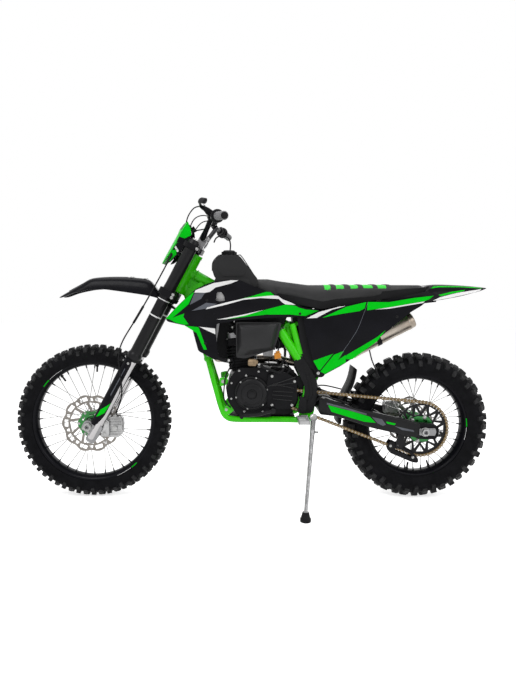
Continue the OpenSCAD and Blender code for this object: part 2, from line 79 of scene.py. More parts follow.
TURN = 2 * math.pi


def place(points):
    """Millimetres on the upright bike (x rear, y right, z up) to metres in the row frame."""
    return (REAR_ROW + (np.asarray(points, float) - REAR_HUB) @ UPRIGHT.T) * MM


def on_fork(points):
    """Millimetres in the fork's own frame (z up the steering axis, x rear) to the upright bike."""
    return STEER_FOOT + np.asarray(points, float) @ TILT.T


def unit(vectors):
    """Each vector divided by its own length."""
    vectors = np.asarray(vectors, float)
    return vectors / np.linalg.norm(vectors, axis=-1, keepdims=True)


# ---------------------------------------------------------------- settings


def colour_property(name, description, default):
    return bpy.props.FloatVectorProperty(
        name=name, description=description, subtype="COLOR", size=3, min=0, max=1, default=default)


def length_property(name, description, default):
    return bpy.props.FloatProperty(name=name, description=description, unit="LENGTH", default=default)


class BikeColours(bpy.types.PropertyGroup):
    """Colours that an owner would change."""

    green: colour_property("Green", "Bright green of the bodywork", (0.001, 0.56, 0.010))
    lime: colour_property("Lime", "Painted green of the steel frame", (0.045, 0.62, 0.003))
    white: colour_property("White", "White of the stripes", (0.80, 0.80, 0.80))
    grey: colour_property("Grey", "Dark grey of the stripes", (0.085, 0.092, 0.11))
    black: colour_property("Black", "Black of the gloss panels", (0.005, 0.005, 0.007))
    seat: colour_property("Seat", "Dark grey of the seat cover", (0.040, 0.040, 0.041))
    chain: colour_property("Chain", "Gold of the chain", (0.17, 0.12, 0.06))


class BikeSizes(bpy.types.PropertyGroup):
    """Sizes that an owner would change."""

    front_knob: length_property("Front knobs", "Height of the front tyre's knobs", 0.013)
    rear_knob: length_property("Rear knobs", "Height of the rear tyre's knobs", 0.017)
    panel: length_property("Panels", "Thickness of the plastic panels", 0.004)
    link: length_property("Chain pitch", "Distance between the chain's pins", 0.015875)
    seat_puff: length_property("Seat puff", "How far the seat's foam may push its cover out", 0.006)


def colours():
    return bpy.context.scene.bike_colours


def sizes():
    return bpy.context.scene.bike_sizes


# ---------------------------------------------------------------- finishes


def add_node(tree, kind, inputs=(), **settings):
    """A shader node with its settings and its inputs, each a value or another node's output."""
    made = tree.nodes.new(kind)
    for name, value in settings.items():
        setattr(made, name, value)
    for key, value in dict(inputs).items():
        if isinstance(value, bpy.types.NodeSocket):
            tree.links.new(value, made.inputs[key])
        else:
            made.inputs[key].default_value = value
    return made


def shade_between(tree, factor, dark, light):
    """A colour that goes from dark to light with the factor."""
    mix = add_node(tree, "ShaderNodeMix", {"Factor": factor, 6: (*dark, 1), 7: (*light, 1)}, data_type="RGBA")
    return mix.outputs[2]


def finish(name, colour, rough, metallic=0.0, coat=0.0, grain=900.0, depth=0.05, patch=14.0,
           drift=0.10, rough_drift=0.06, stretch=(1, 1, 1), pebble=False, tint=None, coat_rough=0.08,
           specular=0.5):
    """A surface whose colour and gloss drift in soft patches, with a fine grain raised in it.

    Colour is the base times 1 - drift to 1 + drift by a slow noise (or runs on to the tint),
    roughness adds a second noise, and height is a fine noise, or rounded pebbles between cracks.
    """
    name = "finish_" + name
    known = bpy.data.materials.get(name)
    if known:
        return known
    material = bpy.data.materials.new(name)
    material.use_nodes = True
    tree = material.node_tree
    shader = tree.nodes["Principled BSDF"]
    spot = add_node(tree, "ShaderNodeTexCoord").outputs["Object"]
    drawn = add_node(tree, "ShaderNodeMapping", {"Vector": spot, "Scale": stretch}).outputs[0]
    slow = add_node(tree, "ShaderNodeTexNoise", {"Vector": spot, "Scale": patch, "Detail": 4.0})
    middle = add_node(tree, "ShaderNodeMapRange",
                      {"Value": slow.outputs[0], "From Min": 0.3, "From Max": 0.7}).outputs[0]
    dark = [part * (1 - drift) for part in colour]
    light = tint or [min(1, part * (1 + drift)) for part in colour]
    tree.links.new(shade_between(tree, middle, dark, light), shader.inputs["Base Color"])
    mottle = add_node(tree, "ShaderNodeTexNoise", {"Vector": drawn, "Scale": patch * 6, "Detail": 3.0})
    gloss = add_node(tree, "ShaderNodeMapRange", {"Value": mottle.outputs[0], "From Min": 0.3, "From Max": 0.7,
                                                  "To Min": rough - rough_drift, "To Max": rough + rough_drift})
    tree.links.new(gloss.outputs[0], shader.inputs["Roughness"])
    if pebble:
        cells = add_node(tree, "ShaderNodeTexVoronoi", {"Vector": drawn, "Scale": grain},
                         feature="DISTANCE_TO_EDGE")
        height = add_node(tree, "ShaderNodeMapRange", {"Value": cells.outputs[0], "From Max": 0.25}).outputs[0]
    else:
        height = add_node(tree, "ShaderNodeTexNoise", {"Vector": drawn, "Scale": grain, "Detail": 3.0}).outputs[0]
    bump = add_node(tree, "ShaderNodeBump", {"Height": height, "Strength": 0.6, "Distance": depth * MM})
    tree.links.new(bump.outputs[0], shader.inputs["Normal"])
    shader.inputs["Metallic"].default_value = metallic
    shader.inputs["Coat Weight"].default_value = coat
    shader.inputs["Coat Roughness"].default_value = coat_rough
    shader.inputs["Specular IOR Level"].default_value = specular
    return material


def gloss_black():
    return finish("gloss_black", colours().black, 0.22, grain=260, depth=0.02, drift=0.25, specular=0.08)


def matt_black():
    return finish("matt_black", (0.010, 0.010, 0.011), 0.50, grain=1500, depth=0.09, drift=0.15, specular=0.1)


def green_plastic():
    return finish("green_plastic", colours().green, 0.26, grain=260, depth=0.015, drift=0.05, specular=0.05)


def white_vinyl():
    return finish("white_vinyl", colours().white, 0.36, coat=0.2, grain=320, depth=0.01, drift=0.03)


def grey_vinyl():
    return finish("grey_vinyl", colours().grey, 0.34, coat=0.06, grain=320, depth=0.01, drift=0.18, specular=0.3)


def frame_paint():
    return finish("frame_paint", colours().lime, 0.26, coat=0.06, grain=190, depth=0.05, drift=0.06, specular=0.2)


def black_paint():
    return finish("black_paint", (0.008, 0.008, 0.009), 0.32, grain=420, depth=0.05, drift=0.2, specular=0.16)


def cast_black():
    return finish("cast_black", (0.006, 0.006, 0.007), 0.44, grain=1100, depth=0.22, drift=0.3,
                  rough_drift=0.1, specular=0.09)


def tyre_rubber():
    return finish("tyre_rubber", (0.006, 0.006, 0.007), 0.62, grain=700, depth=0.25, patch=30, drift=0.35,
                  rough_drift=0.12, specular=0.05)


def soft_rubber():
    return finish("soft_rubber", (0.011, 0.011, 0.012), 0.58, grain=1200, depth=0.12, drift=0.2, specular=0.1)


def grip_rubber():
    return finish("grip_rubber", (0.22, 0.22, 0.225), 0.60, grain=1300, depth=0.16, drift=0.15, specular=0.3)


def seat_vinyl():
    return finish("seat_vinyl", colours().seat, 0.58, grain=620, depth=0.22, patch=9, drift=0.16, pebble=True,
                  specular=0.12)


def brushed_steel():
    return finish("brushed_steel", (0.36, 0.36, 0.365), 0.32, metallic=1.0, grain=500, depth=0.04,
                  stretch=(0.12, 1, 1), drift=0.12, rough_drift=0.1)


def disc_steel():
    return finish("disc_steel", (0.20, 0.185, 0.17), 0.36, metallic=1.0, grain=700, depth=0.05, drift=0.14,
                  rough_drift=0.1)


def chrome():
    return finish("chrome", (0.42, 0.41, 0.415), 0.16, metallic=1.0, grain=300, depth=0.01, drift=0.04,
                  rough_drift=0.05)


def cast_alloy():
    return finish("cast_alloy", (0.24, 0.24, 0.245), 0.40, metallic=1.0, grain=900, depth=0.16, drift=0.14,
                  rough_drift=0.1)


def zinc():
    return finish("zinc", (0.34, 0.34, 0.335), 0.28, metallic=1.0, grain=700, depth=0.05, drift=0.1)


def tank_plastic():
    return finish("tank_plastic", (0.012, 0.012, 0.013), 0.40, grain=1500, depth=0.06, drift=0.12, specular=0.28)


# Silver alloy of the calipers and radiator necks, lighter than cast_alloy: partly their own bare metal, partly painted
# light that offsets the shade they sit in.
def alloy_with_painted_light():
    return finish("alloy_with_painted_light", (0.36, 0.36, 0.36), 0.36, metallic=1.0, grain=900, depth=0.16, drift=0.18,
                  rough_drift=0.12)


def stand_steel():
    return finish("stand_steel", (0.30, 0.30, 0.305), 0.30, metallic=1.0, grain=420, depth=0.06, patch=40,
                  stretch=(1, 1, 0.1), drift=0.35, rough_drift=0.12)


# Knob rubber: lighter in colour than the casing's rubber, a painted highlight for the glints on the knobs' sides; its
# gloss and patchy tone are the rubber's own.
def tread_rubber_painted_glint():
    return finish("tread_rubber_painted_glint", (0.014, 0.014, 0.015), 0.5, grain=700, depth=0.2, patch=60, drift=0.5,
                  rough_drift=0.2, specular=0.16)


def exhaust_steel():
    return finish("exhaust_steel", (0.30, 0.25, 0.20), 0.34, metallic=1.0, grain=420, depth=0.05, patch=5,
                  tint=(0.42, 0.38, 0.33), stretch=(1, 1, 0.2), rough_drift=0.1)


def chain_gold():
    return finish("chain_gold", colours().chain, 0.36, metallic=0.9, grain=600, depth=0.06, patch=40,
                  drift=0.25, rough_drift=0.12)


def brass():
    return finish("brass", (0.22, 0.16, 0.10), 0.42, metallic=0.9, grain=700, depth=0.1, drift=0.2)


def hub_green():
    return finish("hub_green", (0.004, 0.17, 0.018), 0.30, metallic=0.5, coat=0.4, grain=500, depth=0.03,
                  drift=0.15)


def amber_plastic():
    return finish("amber_plastic", (0.60, 0.22, 0.01), 0.40, grain=900, depth=0.05)


def clear_white():
    return finish("clear_white", (0.55, 0.55, 0.55), 0.35, grain=900, depth=0.04)


# ---------------------------------------------------------------- shapes, as arrays of points


def grid_faces(rows, columns, wrap_rows=False, wrap_columns=False):
    """Quads between neighbouring points of a grid of rows by columns."""
    row = np.arange(rows if wrap_rows else rows - 1)[:, None]
    column = np.arange(columns if wrap_columns else columns - 1)[None]
    down, across = (row + 1) % rows, (column + 1) % columns
    corners = [row * columns + column, row * columns + across, down * columns + across, down * columns + column]
    return np.stack(np.broadcast_arrays(*corners), -1).reshape(-1, 4)


def joined(shapes):
    """One shape of several: their points in turn, and their faces counted on from the last."""
    shapes = list(shapes)
    starts = np.cumsum([0] + [len(points) for points, _ in shapes])
    faces = [face + start for (_, group), start in zip(shapes, starts) for face in group]
    return np.concatenate([points for points, _ in shapes]), faces


def repeated(shape, turns, shifts):
    """The shape once for each pair: its points turned by a matrix, then shifted."""
    points, faces = shape
    turns = np.broadcast_to(turns, (len(shifts), 3, 3))
    all_points = np.einsum("kij,nj->kni", turns, points) + np.asarray(shifts)[:, None]
    starts = np.arange(len(shifts)) * len(points)
    return all_points.reshape(-1, 3), [(face[None] + starts[:, None, None]).reshape(-1, face.shape[1])
                                       for face in faces]


def mirrored(shape):
    """The shape on the bike's other side: y turns its sign."""
    points, faces = shape
    return points * [1, -1, 1], [face[:, ::-1] for face in faces]


def both(shape):
    """The shape and its mirror image on the other side."""
    return joined([shape, mirrored(shape)])


def smooth(points, per=8, closed=False):
    """A Catmull-Rom curve: cubic between neighbours, its slope at each point set by those beside it."""
    points = np.asarray(points, float)
    count = len(points)
    i = np.arange(count if closed else count - 1)
    if closed:
        a, b, c, d = points[i - 1], points[i], points[(i + 1) % count], points[(i + 2) % count]
    else:
        a, b, c, d = points[np.maximum(i - 1, 0)], points[i], points[i + 1], points[np.minimum(i + 2, count - 1)]
    t = (np.arange(per) / per)[None, :, None]
    a, b, c, d = a[:, None], b[:, None], c[:, None], d[:, None]
    curve = 0.5 * (2 * b + (c - a) * t + (2 * a - 5 * b + 4 * c - d) * t ** 2 + (3 * b - a - 3 * c + d) * t ** 3)
    curve = curve.reshape(-1, points.shape[1])
    return curve if closed else np.concatenate([curve, points[-1:]])


def rounded(outline, radius, steps=4):
    """An outline whose corners become parabolas that start and end one radius from the corner."""
    corner = np.asarray(outline, float)
    radius = np.broadcast_to(radius, len(corner))[:, None]
    before, after = np.roll(corner, 1, 0) - corner, np.roll(corner, -1, 0) - corner
    long_before = np.linalg.norm(before, axis=1, keepdims=True)
    long_after = np.linalg.norm(after, axis=1, keepdims=True)
    start = corner + before / long_before * np.minimum(radius, 0.48 * long_before)
    end = corner + after / long_after * np.minimum(radius, 0.48 * long_after)
    t = np.linspace(0, 1, steps + 1)[None, :, None]
    curve = (1 - t) ** 2 * start[:, None] + 2 * t * (1 - t) * corner[:, None] + t ** 2 * end[:, None]
    return curve.reshape(-1, corner.shape[1])


def circle(radius, count=24, centre=(0, 0)):
    """Points at even angles round a centre, one radius away."""
    t = TURN * np.arange(count) / count
    return np.stack([centre[0] + radius * np.cos(t), centre[1] + radius * np.sin(t)], -1)


def frames(path, side):
    """Across directions at each point of a path: square to its run, kept level with the given side."""
    run = unit(np.gradient(path, axis=0))
    first = unit(np.cross(run, np.broadcast_to(side, path.shape)))
    return first, np.cross(run, first)


def sweep(path, profile, side=(0, 1, 0), scale=1.0):
    """A closed flat profile carried along a path, square to it, scaled at each point, with flat ends."""
    path = np.asarray(path, float)
    first, second = frames(path, side)
    scale = np.broadcast_to(scale, len(path))[:, None, None]
    profile = np.asarray(profile, float)
    points = path[:, None] + scale * (profile[None, :, :1] * first[:, None] + profile[None, :, 1:] * second[:, None])
    count = len(profile)
    ends = [np.arange(count)[None, ::-1], np.arange(count)[None] + (len(path) - 1) * count]
    return points.reshape(-1, 3), [grid_faces(len(path), count, wrap_columns=True), *ends]


def tube(path, radius, side=(0, 1, 0), sides=16):
    """A round tube along a path, of one radius or one for each point."""
    return sweep(path, circle(1.0, sides), side, radius)


def rod(start, end, radius, sides=20):
    """A straight round bar whose last fiftieth at each end narrows by six hundredths."""
    start, end = np.asarray(start, float), np.asarray(end, float)
    run = unit(end - start)
    side = (0, 1, 0) if abs(run[1]) < 0.9 else (1, 0, 0)
    path = start + (end - start) * np.array([0, 0.02, 0.98, 1])[:, None]
    return tube(path, np.array([0.94, 1, 1, 0.94]) * radius, side, sides)


def lathe(profile, centre, axis=(0, 1, 0), count=48, closed=False):
    """A profile of (distance along, radius) turned about an axis, its ends closed by flat faces."""
    axis = unit(axis)
    first = unit(np.cross(axis, (0, 0, 1) if abs(axis[2]) < 0.9 else (1, 0, 0)))
    second = np.cross(axis, first)
    t = TURN * np.arange(count) / count
    ring = np.cos(t)[:, None] * first + np.sin(t)[:, None] * second
    profile = np.asarray(profile, float)
    points = np.asarray(centre, float) + profile[:, :1, None] * axis + profile[:, 1:, None] * ring[None]
    faces = [grid_faces(len(profile), count, closed, True)]
    if not closed:
        faces += [np.arange(count)[None, ::-1], np.arange(count)[None] + (len(profile) - 1) * count]
    return points.reshape(-1, 3), faces


def loft(sections):
    """A skin through closed sections of equal count, with flat ends."""
    sections = np.asarray(sections, float)
    rows, count = sections.shape[:2]
    ends = [np.arange(count)[None, ::-1], np.arange(count)[None] + (rows - 1) * count]
    return sections.reshape(-1, 3), [grid_faces(rows, count, wrap_columns=True), *ends]


def helix(start, end, radius, turns, wire, per_turn=20, flat=0.6):
    """A coil spring: a wire that turns about the line from start to end, its end turns drawn close."""
    start, end = np.asarray(start, float), np.asarray(end, float)
    axis = unit(end - start)
    first = unit(np.cross(axis, (0, 1, 0)))
    second = np.cross(axis, first)
    s = np.linspace(0, 1, int(turns * per_turn))
    along = np.clip((s - 0.5) * (1 + 2 * flat / turns) + 0.5, 0, 1)[:, None]
    angle = TURN * turns * s[:, None]
    path = start + (end - start) * along + radius * (np.cos(angle) * first + np.sin(angle) * second)
    return tube(path, wire, axis, 8)


def inside(points, loop):
    """Which flat points lie inside a closed outline: a level ray crosses it an odd number of times."""
    ahead = np.roll(loop, -1, 0)
    x, y = points[:, :1], points[:, 1:]
    crosses = (loop[:, 1] > y) != (ahead[:, 1] > y)
    slope = (ahead[:, 0] - loop[:, 0]) / np.where(ahead[:, 1] == loop[:, 1], 1e-9, ahead[:, 1] - loop[:, 1])
    return (crosses & (x < loop[:, 0] + (y - loop[:, 1]) * slope)).sum(1) % 2 == 1


def stepped(loop, step):
    """An outline with points added along its sides, about one step apart."""
    ahead = np.roll(loop, -1, 0)
    parts = np.maximum(1, np.ceil(np.linalg.norm(ahead - loop, axis=1) / step)).astype(int)
    which = np.repeat(np.arange(len(loop)), parts)
    part = np.arange(len(which)) - np.repeat(np.cumsum(parts) - parts, parts)
    share = (part / parts[which])[:, None]
    return loop[which] * (1 - share) + ahead[which] * share


def region(outline, holes=(), step=None):
    """Triangles that fill an outline less its holes, with inner points on a square grid."""
    loops = [np.asarray(loop, float) for loop in (outline, *holes)]
    if step:
        loops = [stepped(loop, step) for loop in loops]
    edges, start = [], 0
    for loop in loops:
        i = np.arange(len(loop))
        edges += (np.stack([i, (i + 1) % len(loop)], -1) + start).tolist()
        start += len(loop)
    points = np.concatenate(loops)
    if step:
        low, high = points.min(0), points.max(0)
        across, up = np.meshgrid(np.arange(low[0], high[0], step), np.arange(low[1], high[1], step))
        across = across + (np.arange(len(across)) % 2)[:, None] * step / 2
        inner = np.stack([across.ravel(), up.ravel()], -1)
        inner = inner[inside(inner, loops[0])]
        for hole in loops[1:]:
            inner = inner[~inside(inner, hole)]
        gap = np.linalg.norm(inner[:, None] - points[None], axis=2).min(1)
        points = np.concatenate([points, inner[gap > 0.45 * step]])
    made = geometry.delaunay_2d_cdt([Vector(p) for p in points], edges, [], 0, 1e-6)
    flat = np.array([tuple(p) for p in made[0]])
    faces = np.array([face for face in made[2] if len(face) == 3])
    middle = flat[faces].mean(1)
    keep = inside(middle, loops[0])
    for hole in loops[1:]:
        keep &= ~inside(middle, hole)
    return flat, faces[keep]


def plate(outline, surface, thickness, holes=(), step=None):
    """A plate of even thickness: a filled outline on a surface, the same deeper down, and walls.

    The surface gives a point for two flat distances and a depth under its outer face.
    """
    flat, faces = region(outline, holes, step)
    used, faces = np.unique(faces, return_inverse=True)
    flat, faces = flat[used], faces.reshape(-1, 3)
    count = len(flat)
    sides = faces[:, [0, 1, 1, 2, 2, 0]].reshape(-1, 2)
    _, which, times = np.unique(np.sort(sides, 1), axis=0, return_inverse=True, return_counts=True)
    rim = sides[times[which.ravel()] == 1]
    walls = np.stack([rim[:, 1], rim[:, 0], rim[:, 0] + count, rim[:, 1] + count], -1)
    points = [surface(flat[:, 0], flat[:, 1], depth) for depth in (0.0, float(thickness))]
    return np.concatenate(points), [faces, faces[:, ::-1] + count, walls]


def side_plane(y):
    """The upright plane at y, for a plate whose depth runs towards the bike's middle."""
    inwards = -math.copysign(1, y)
    return lambda u, v, depth: np.stack([u, np.full_like(u, y + inwards * depth), v], -1)


def level_plane(z):
    """The level plane at z, for a plate whose depth runs down."""
    return lambda u, v, depth: np.stack([u, v, np.full_like(u, z - depth)], -1)


def slab(outline, y0, y1, radius=0.0, holes=()):
    """An outline in x and z as a plate between two distances across the bike."""
    outline = rounded(outline, radius) if radius else np.asarray(outline, float)
    return plate(outline, lambda u, v, d: np.stack([u, np.full_like(u, y0) + d, v], -1), y1 - y0, holes)


def turned_bolt(size, height):
    """A hexagon head over a round washer, with a dimple in its top, standing along z."""
    washer = lathe([(0, size * 1.35), (height * 0.2, size * 1.35), (height * 0.22, size)], (0, 0, 0), (0, 0, 1), 16)
    head = lathe([(height * 0.2, size * 1.1), (height * 0.9, size * 1.1), (height, size * 0.92),
                  (height, size * 0.55), (height * 0.8, size * 0.45)], (0, 0, 0), (0, 0, 1), 6)
    return joined([washer, head])


def aimed(axis):
    """A turn that takes z to the axis."""
    return np.array(Vector((0, 0, 1)).rotation_difference(Vector(axis)).to_matrix())


def bolts(places, axis=(0, -1, 0), size=5.0, height=5.0):
    """One bolt head at each place, turned to stand along the axis."""
    places = np.asarray(places, float)
    return repeated(turned_bolt(size, height), aimed(unit(axis)), places)


def fork_frame(shape):
    """A shape made in the fork's own frame, put on the upright bike."""
    return on_fork(shape[0]), shape[1]


def fill_mesh(mesh, points, faces):
    """Puts whole arrays of points and faces into an empty mesh."""
    corners = np.concatenate([face.ravel() for face in faces]).astype(np.int32)
    counts = np.concatenate([np.full(len(face), face.shape[1]) for face in faces])
    mesh.vertices.add(len(points))
    mesh.vertices.foreach_set("co", points.astype(np.float32).ravel())
    mesh.loops.add(len(corners))
    mesh.loops.foreach_set("vertex_index", corners)
    mesh.polygons.add(len(counts))
    mesh.polygons.foreach_set("loop_start", (np.cumsum(counts) - counts).astype(np.int32))
    mesh.update(calc_edges=True)
    mesh.validate()


def piece(name, shape, material, body="chassis", replaces=(), bevel=0.0, crease=38, levels=0):
    """A shown piece: its mesh in the row frame, its finish, the body it rides on and what it stands for.
    """
    mesh = bpy.data.meshes.new(name)
    fill_mesh(mesh, place(shape[0]), [np.asarray(face) for face in shape[1]])
    work = bmesh.new()
    work.from_mesh(mesh)
    bmesh.ops.recalc_face_normals(work, faces=work.faces)
    work.to_mesh(mesh)
    work.free()
    mesh.shade_smooth()
    made = bpy.data.objects.new(name, mesh)
    bpy.context.scene.collection.objects.link(made)
    mesh.materials.append(material)
    if levels:
        rounder = made.modifiers.new("Round", "SUBSURF")
        rounder.levels = rounder.render_levels = levels
    if bevel:
        edge = made.modifiers.new("Edges", "BEVEL")
        edge.width, edge.segments, edge.limit_method = bevel * MM, 2, "ANGLE"
        edge.angle_limit, edge.harden_normals = math.radians(crease), True
    elif not levels:
        mesh.set_sharp_from_angle(angle=math.radians(crease))
    return register_piece(made, body, replaces)


def register_piece(made, body, replaces=()):
    """Parents the piece to its body's empty and hides the CAD nodes it stands for."""
    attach(made, body)
    if replaces:
        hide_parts(*replaces)
    return made


def refinish(node, material):
    """A CAD piece kept as it is, with a better finish in its slots."""
    mesh = frame["nodes"][node].data
    mesh.materials.clear()
    mesh.materials.append(material)


def turned_y(degrees):
    """Turns about the axle that take x towards z, one for each angle."""
    angle = np.radians(np.atleast_1d(degrees))
    c, s, zero, one = np.cos(angle), np.sin(angle), np.zeros_like(angle), np.ones_like(angle)
    return np.stack([c, zero, -s, zero, one, zero, s, zero, c], -1).reshape(-1, 3, 3)


def round_hub(shape, hub, count, phase=0.0):
    """The shape, made round the axle at angle zero, repeated evenly round a hub."""
    turns = turned_y(360 * (np.arange(count) + phase) / count)
    return repeated(shape, turns, np.broadcast_to(hub, (count, 3)))


def aimed_all(directions):
    """Turns that take z to each direction."""
    z = unit(directions)
    helper = np.where(np.abs(z[:, 1:2]) < 0.9, [[0, 1, 0]], [[1, 0, 0]])
    x = unit(np.cross(helper, z))
    return np.stack([x, np.cross(z, x), z], -1)


def wheel_plane(hub, y):
    """The plane square to the axle at y, measured from the hub; depth runs towards +y."""
    return lambda u, v, depth: np.stack([hub[0] + u, np.full_like(u, y) + depth, hub[2] + v], -1)


def polar(radius, degrees):
    """Flat points from a distance and an angle."""
    angle = np.radians(degrees)
    return np.stack([radius * np.cos(angle), radius * np.sin(angle)], -1)


def ring_patch(hub, inner, outer, y, start, end, thick=0.5):
    """A curved strip on a wheel's face: a flat bar carried round the axle from one angle to another."""
    angle = np.radians(np.linspace(start, end, 16))[:, None]
    radius = np.array([inner, outer, outer, inner])
    level = y + math.copysign(thick, y) * np.array([0, 0, 1, 1])
    across = np.broadcast_to(level, (16, 4))
    sections = np.stack([hub[0] + radius * np.cos(angle), across, hub[2] + radius * np.sin(angle)], -1)
    return loft(sections)


# ---------------------------------------------------------------- wheels


def tread_block(middle, high, wide, lean, length, width, height):
    """A tread block on the carcass, at an angle from its crown: an octagon that narrows to a dished top."""
    corner = np.array([(1, .8), (.8, 1), (-.8, 1), (-1, .8), (-1, -.8), (-.8, -1), (.8, -1), (1, -.8)])
    outline = corner * [length / 2, width / 2]
    lean = math.radians(lean)
    base = np.array([middle + high * math.cos(lean), wide * math.sin(lean), 0])
    out = np.array([math.cos(lean), math.sin(lean), 0])
    across = np.array([-math.sin(lean), math.cos(lean), 0])
    levels = [(-4, 1.18), (height * 0.8, 1.02), (height, 0.92), (height - 1.3, 0.5)]
    return loft([base + level * out + share * (outline[:, :1] * [[0, 0, 1]] + outline[:, 1:] * across)
                 for level, share in levels])


def carcass(hub, middle, high, wide, edge, rim_half):
    """The tyre's casing: a thick arch from bead to bead, with raised rings on its walls, turned round."""
    angle = np.radians(np.linspace(-6, 186, 29))
    ring = 1.3 * (np.isin(np.arange(29), [2, 26])) + 0.7 * np.isin(np.arange(29), [4, 24])
    outer = np.stack([(wide + ring) * np.cos(angle), middle + high * np.sin(angle)], -1)
    inner = np.stack([(wide - 8) * np.cos(angle), middle + (high - 8) * np.sin(angle)], -1)[::-1]
    foot = np.array([[rim_half + 4, edge - 6], [rim_half + 5, edge + 3]])
    low = np.array([[rim_half - 6, edge + 3], [rim_half - 6, edge - 6]])
    profile = np.concatenate([foot, outer, foot[::-1] * [-1, 1], low[::-1] * [-1, 1], inner, low])
    return lathe(profile, hub, (0, 1, 0), 120, closed=True)


def tyre(name, body, hub, bed, rim_half, casing, rows, count, node):
    """A casing turned about the axle, with rows of knobs repeated evenly round it, each leaning with the tread."""
    middle, high, wide = casing
    edge = bed + 26
    piece(name + "_tyre_casing", carcass(hub, middle, high, wide, edge, rim_half), tyre_rubber(), body,
          [node], crease=50)
    blocks = []
    for lean, length, width, height, phase in rows:
        for side in ((1,) if lean == 0 else (1, -1)):
            block = tread_block(middle, high, wide, side * lean, length, width, height)
            blocks.append(round_hub(block, hub, count, phase))
    piece(name + "_tyre_tread", joined(blocks), tread_rubber_painted_glint(), body, crease=30)


def rim(name, body, hub, bed, half, node):
    """A channel turned about the axle: its half outline is mirrored about the wheel's middle."""
    half_profile = np.array([[0.0, bed + 1], [0.38 * half, bed], [0.62 * half, bed + 3], [0.86 * half, bed + 9],
                             [half - 1, bed + 12], [half, bed + 14], [half, bed + 25], [half - 1, bed + 27],
                             [half - 3.5, bed + 27], [half - 4.5, bed + 24], [half - 5, bed + 15],
                             [0.5 * half, bed + 9], [0.0, bed + 5]])
    profile = np.concatenate([half_profile, (half_profile * [-1, 1])[::-1][1:-1]])
    piece(name + "_rim_hoop", lathe(profile, hub, (0, 1, 0), 144, closed=True), gloss_black(), body,
          [node], crease=42)


def spoke_ends(hub, bed, hole, faces, count=36):
    """Where each laced spoke leaves its hub and meets its rim: every other flange, lean and face in turn."""
    i = np.arange(count)
    side = np.where(i % 2 == 0, 1, -1)
    forward = (i // 2) % 2 == 0
    at_rim = 360 * i / count
    at_hub = np.radians(at_rim + np.where(forward, 52, -52))
    at_rim = np.radians(at_rim)
    near = np.stack([hole * np.cos(at_hub), side * np.where(forward, *faces), hole * np.sin(at_hub)], -1)
    far = np.stack([(bed + 2) * np.cos(at_rim), side * 4, (bed + 2) * np.sin(at_rim)], -1)
    return hub + near, hub + far


def nipples(name, body, hub, bed, hole, faces):
    """Spoke nipples: a stepped six-sided sleeve at the rim end of each spoke, along its run."""
    near, far = spoke_ends(hub, bed, hole, faces)
    sleeve = lathe([(-17, 2.2), (-15, 3.0), (-6, 3.0), (-5, 3.6), (1, 3.6)], (0, 0, 0), (0, 0, 1), 6)
    piece(name + "_nipples", repeated(sleeve, aimed_all(far - near), far), black_paint(), body)
    head = lathe([(-2, 3.0), (0, 3.4), (9, 2.4), (12, 1.7)], (0, 0, 0), (0, 0, 1), 8)
    piece(name + "_spoke_heads", repeated(head, aimed_all(far - near), near), zinc(), body)


def rim_marks(name, body, hub, bed, half, greens, whites):
    """Plain colour marks on both faces of the rim: short curved strips between its bead and its edge."""
    for colour, material, spans, inner, outer in (
            ("green", green_plastic(), greens, bed + 15.5, bed + 23.5), ("white", white_vinyl(), whites, 0, 0)):
        strips = []
        for start, end in spans:
            for y in (-half, half):
                if colour == "green":
                    strips.append(ring_patch(hub, inner, outer, y, start, end))
                else:
                    strips += [ring_patch(hub, bed + 16.5, bed + 18, y, start, end),
                               ring_patch(hub, bed + 21, bed + 22.5, y, start, end)]
        piece(name + "_rim_marks_" + colour, joined(strips), material, body, crease=60)


def stems(name, body, hub, bed, angles):
    """Tyre valve and rim lock: threaded studs with a nut, standing inwards from the rim's bed."""
    stud = lathe([(0, 3.2), (4, 3.2), (5, 7), (11, 7), (12, 4.2), (34, 4.2), (36, 3.0)], (0, 0, 0), (-1, 0, 0), 12)
    turns = turned_y(angles)
    middle = turns @ np.array([bed + 3.0, 0, 0]) + hub
    piece(name + "_valve_studs", repeated(stud, turns, middle), black_paint(), body)


def lobed(radius, deep, count, points=240, power=1.0):
    """A closed outline whose radius swells and falls a set number of times round."""
    t = 360 * np.arange(points) / points
    swell = (0.5 + 0.5 * np.cos(np.radians(count * t))) ** power
    return polar(radius - deep + deep * swell, t)


def windows(count, inner, outer, narrow, broad, skew, phase=0.0, radius=3.0):
    """Holes round a disc: four-cornered, between two radii, leaning by the skew, with round corners."""
    holes = []
    for k in range(count):
        middle = 360 * (k + phase) / count
        corners = np.array([polar(inner, middle - narrow), polar(inner, middle + narrow),
                            polar(outer, middle + broad + skew), polar(outer, middle - broad + skew)])
        holes.append(rounded(corners, radius, 3))
    return holes


def wave_disc(hub, y, thick, radius, count, inner):
    """A brake disc: a wavy rim, slanted arms, and triangles and slots through the rubbing ring in turn."""
    holes = [polar(inner, 360 * np.arange(48) / 48)]
    holes += windows(count, inner + 8, radius - 35, 12.0, 14.5, 11)
    half = 180 / count
    for k in range(count):
        middle = 360 * k / count
        tip = [polar(radius - 27, middle - half * 0.55), polar(radius - 27, middle + half * 0.55),
               polar(radius - 10, middle + half * 0.42), polar(radius - 10, middle - half * 0.42)]
        dip = [polar(radius - 30, middle + half * 0.72), polar(radius - 30, middle + half * 1.28),
               polar(radius - 16, middle + half * 1.12), polar(radius - 16, middle + half * 0.88)]
        holes += [rounded(np.array(corners), 2.2, 2) for corners in (tip, dip)]
    outline = lobed(radius, 9, count, 240, 0.8)
    return plate(outline, wheel_plane(hub, y), thick, holes)


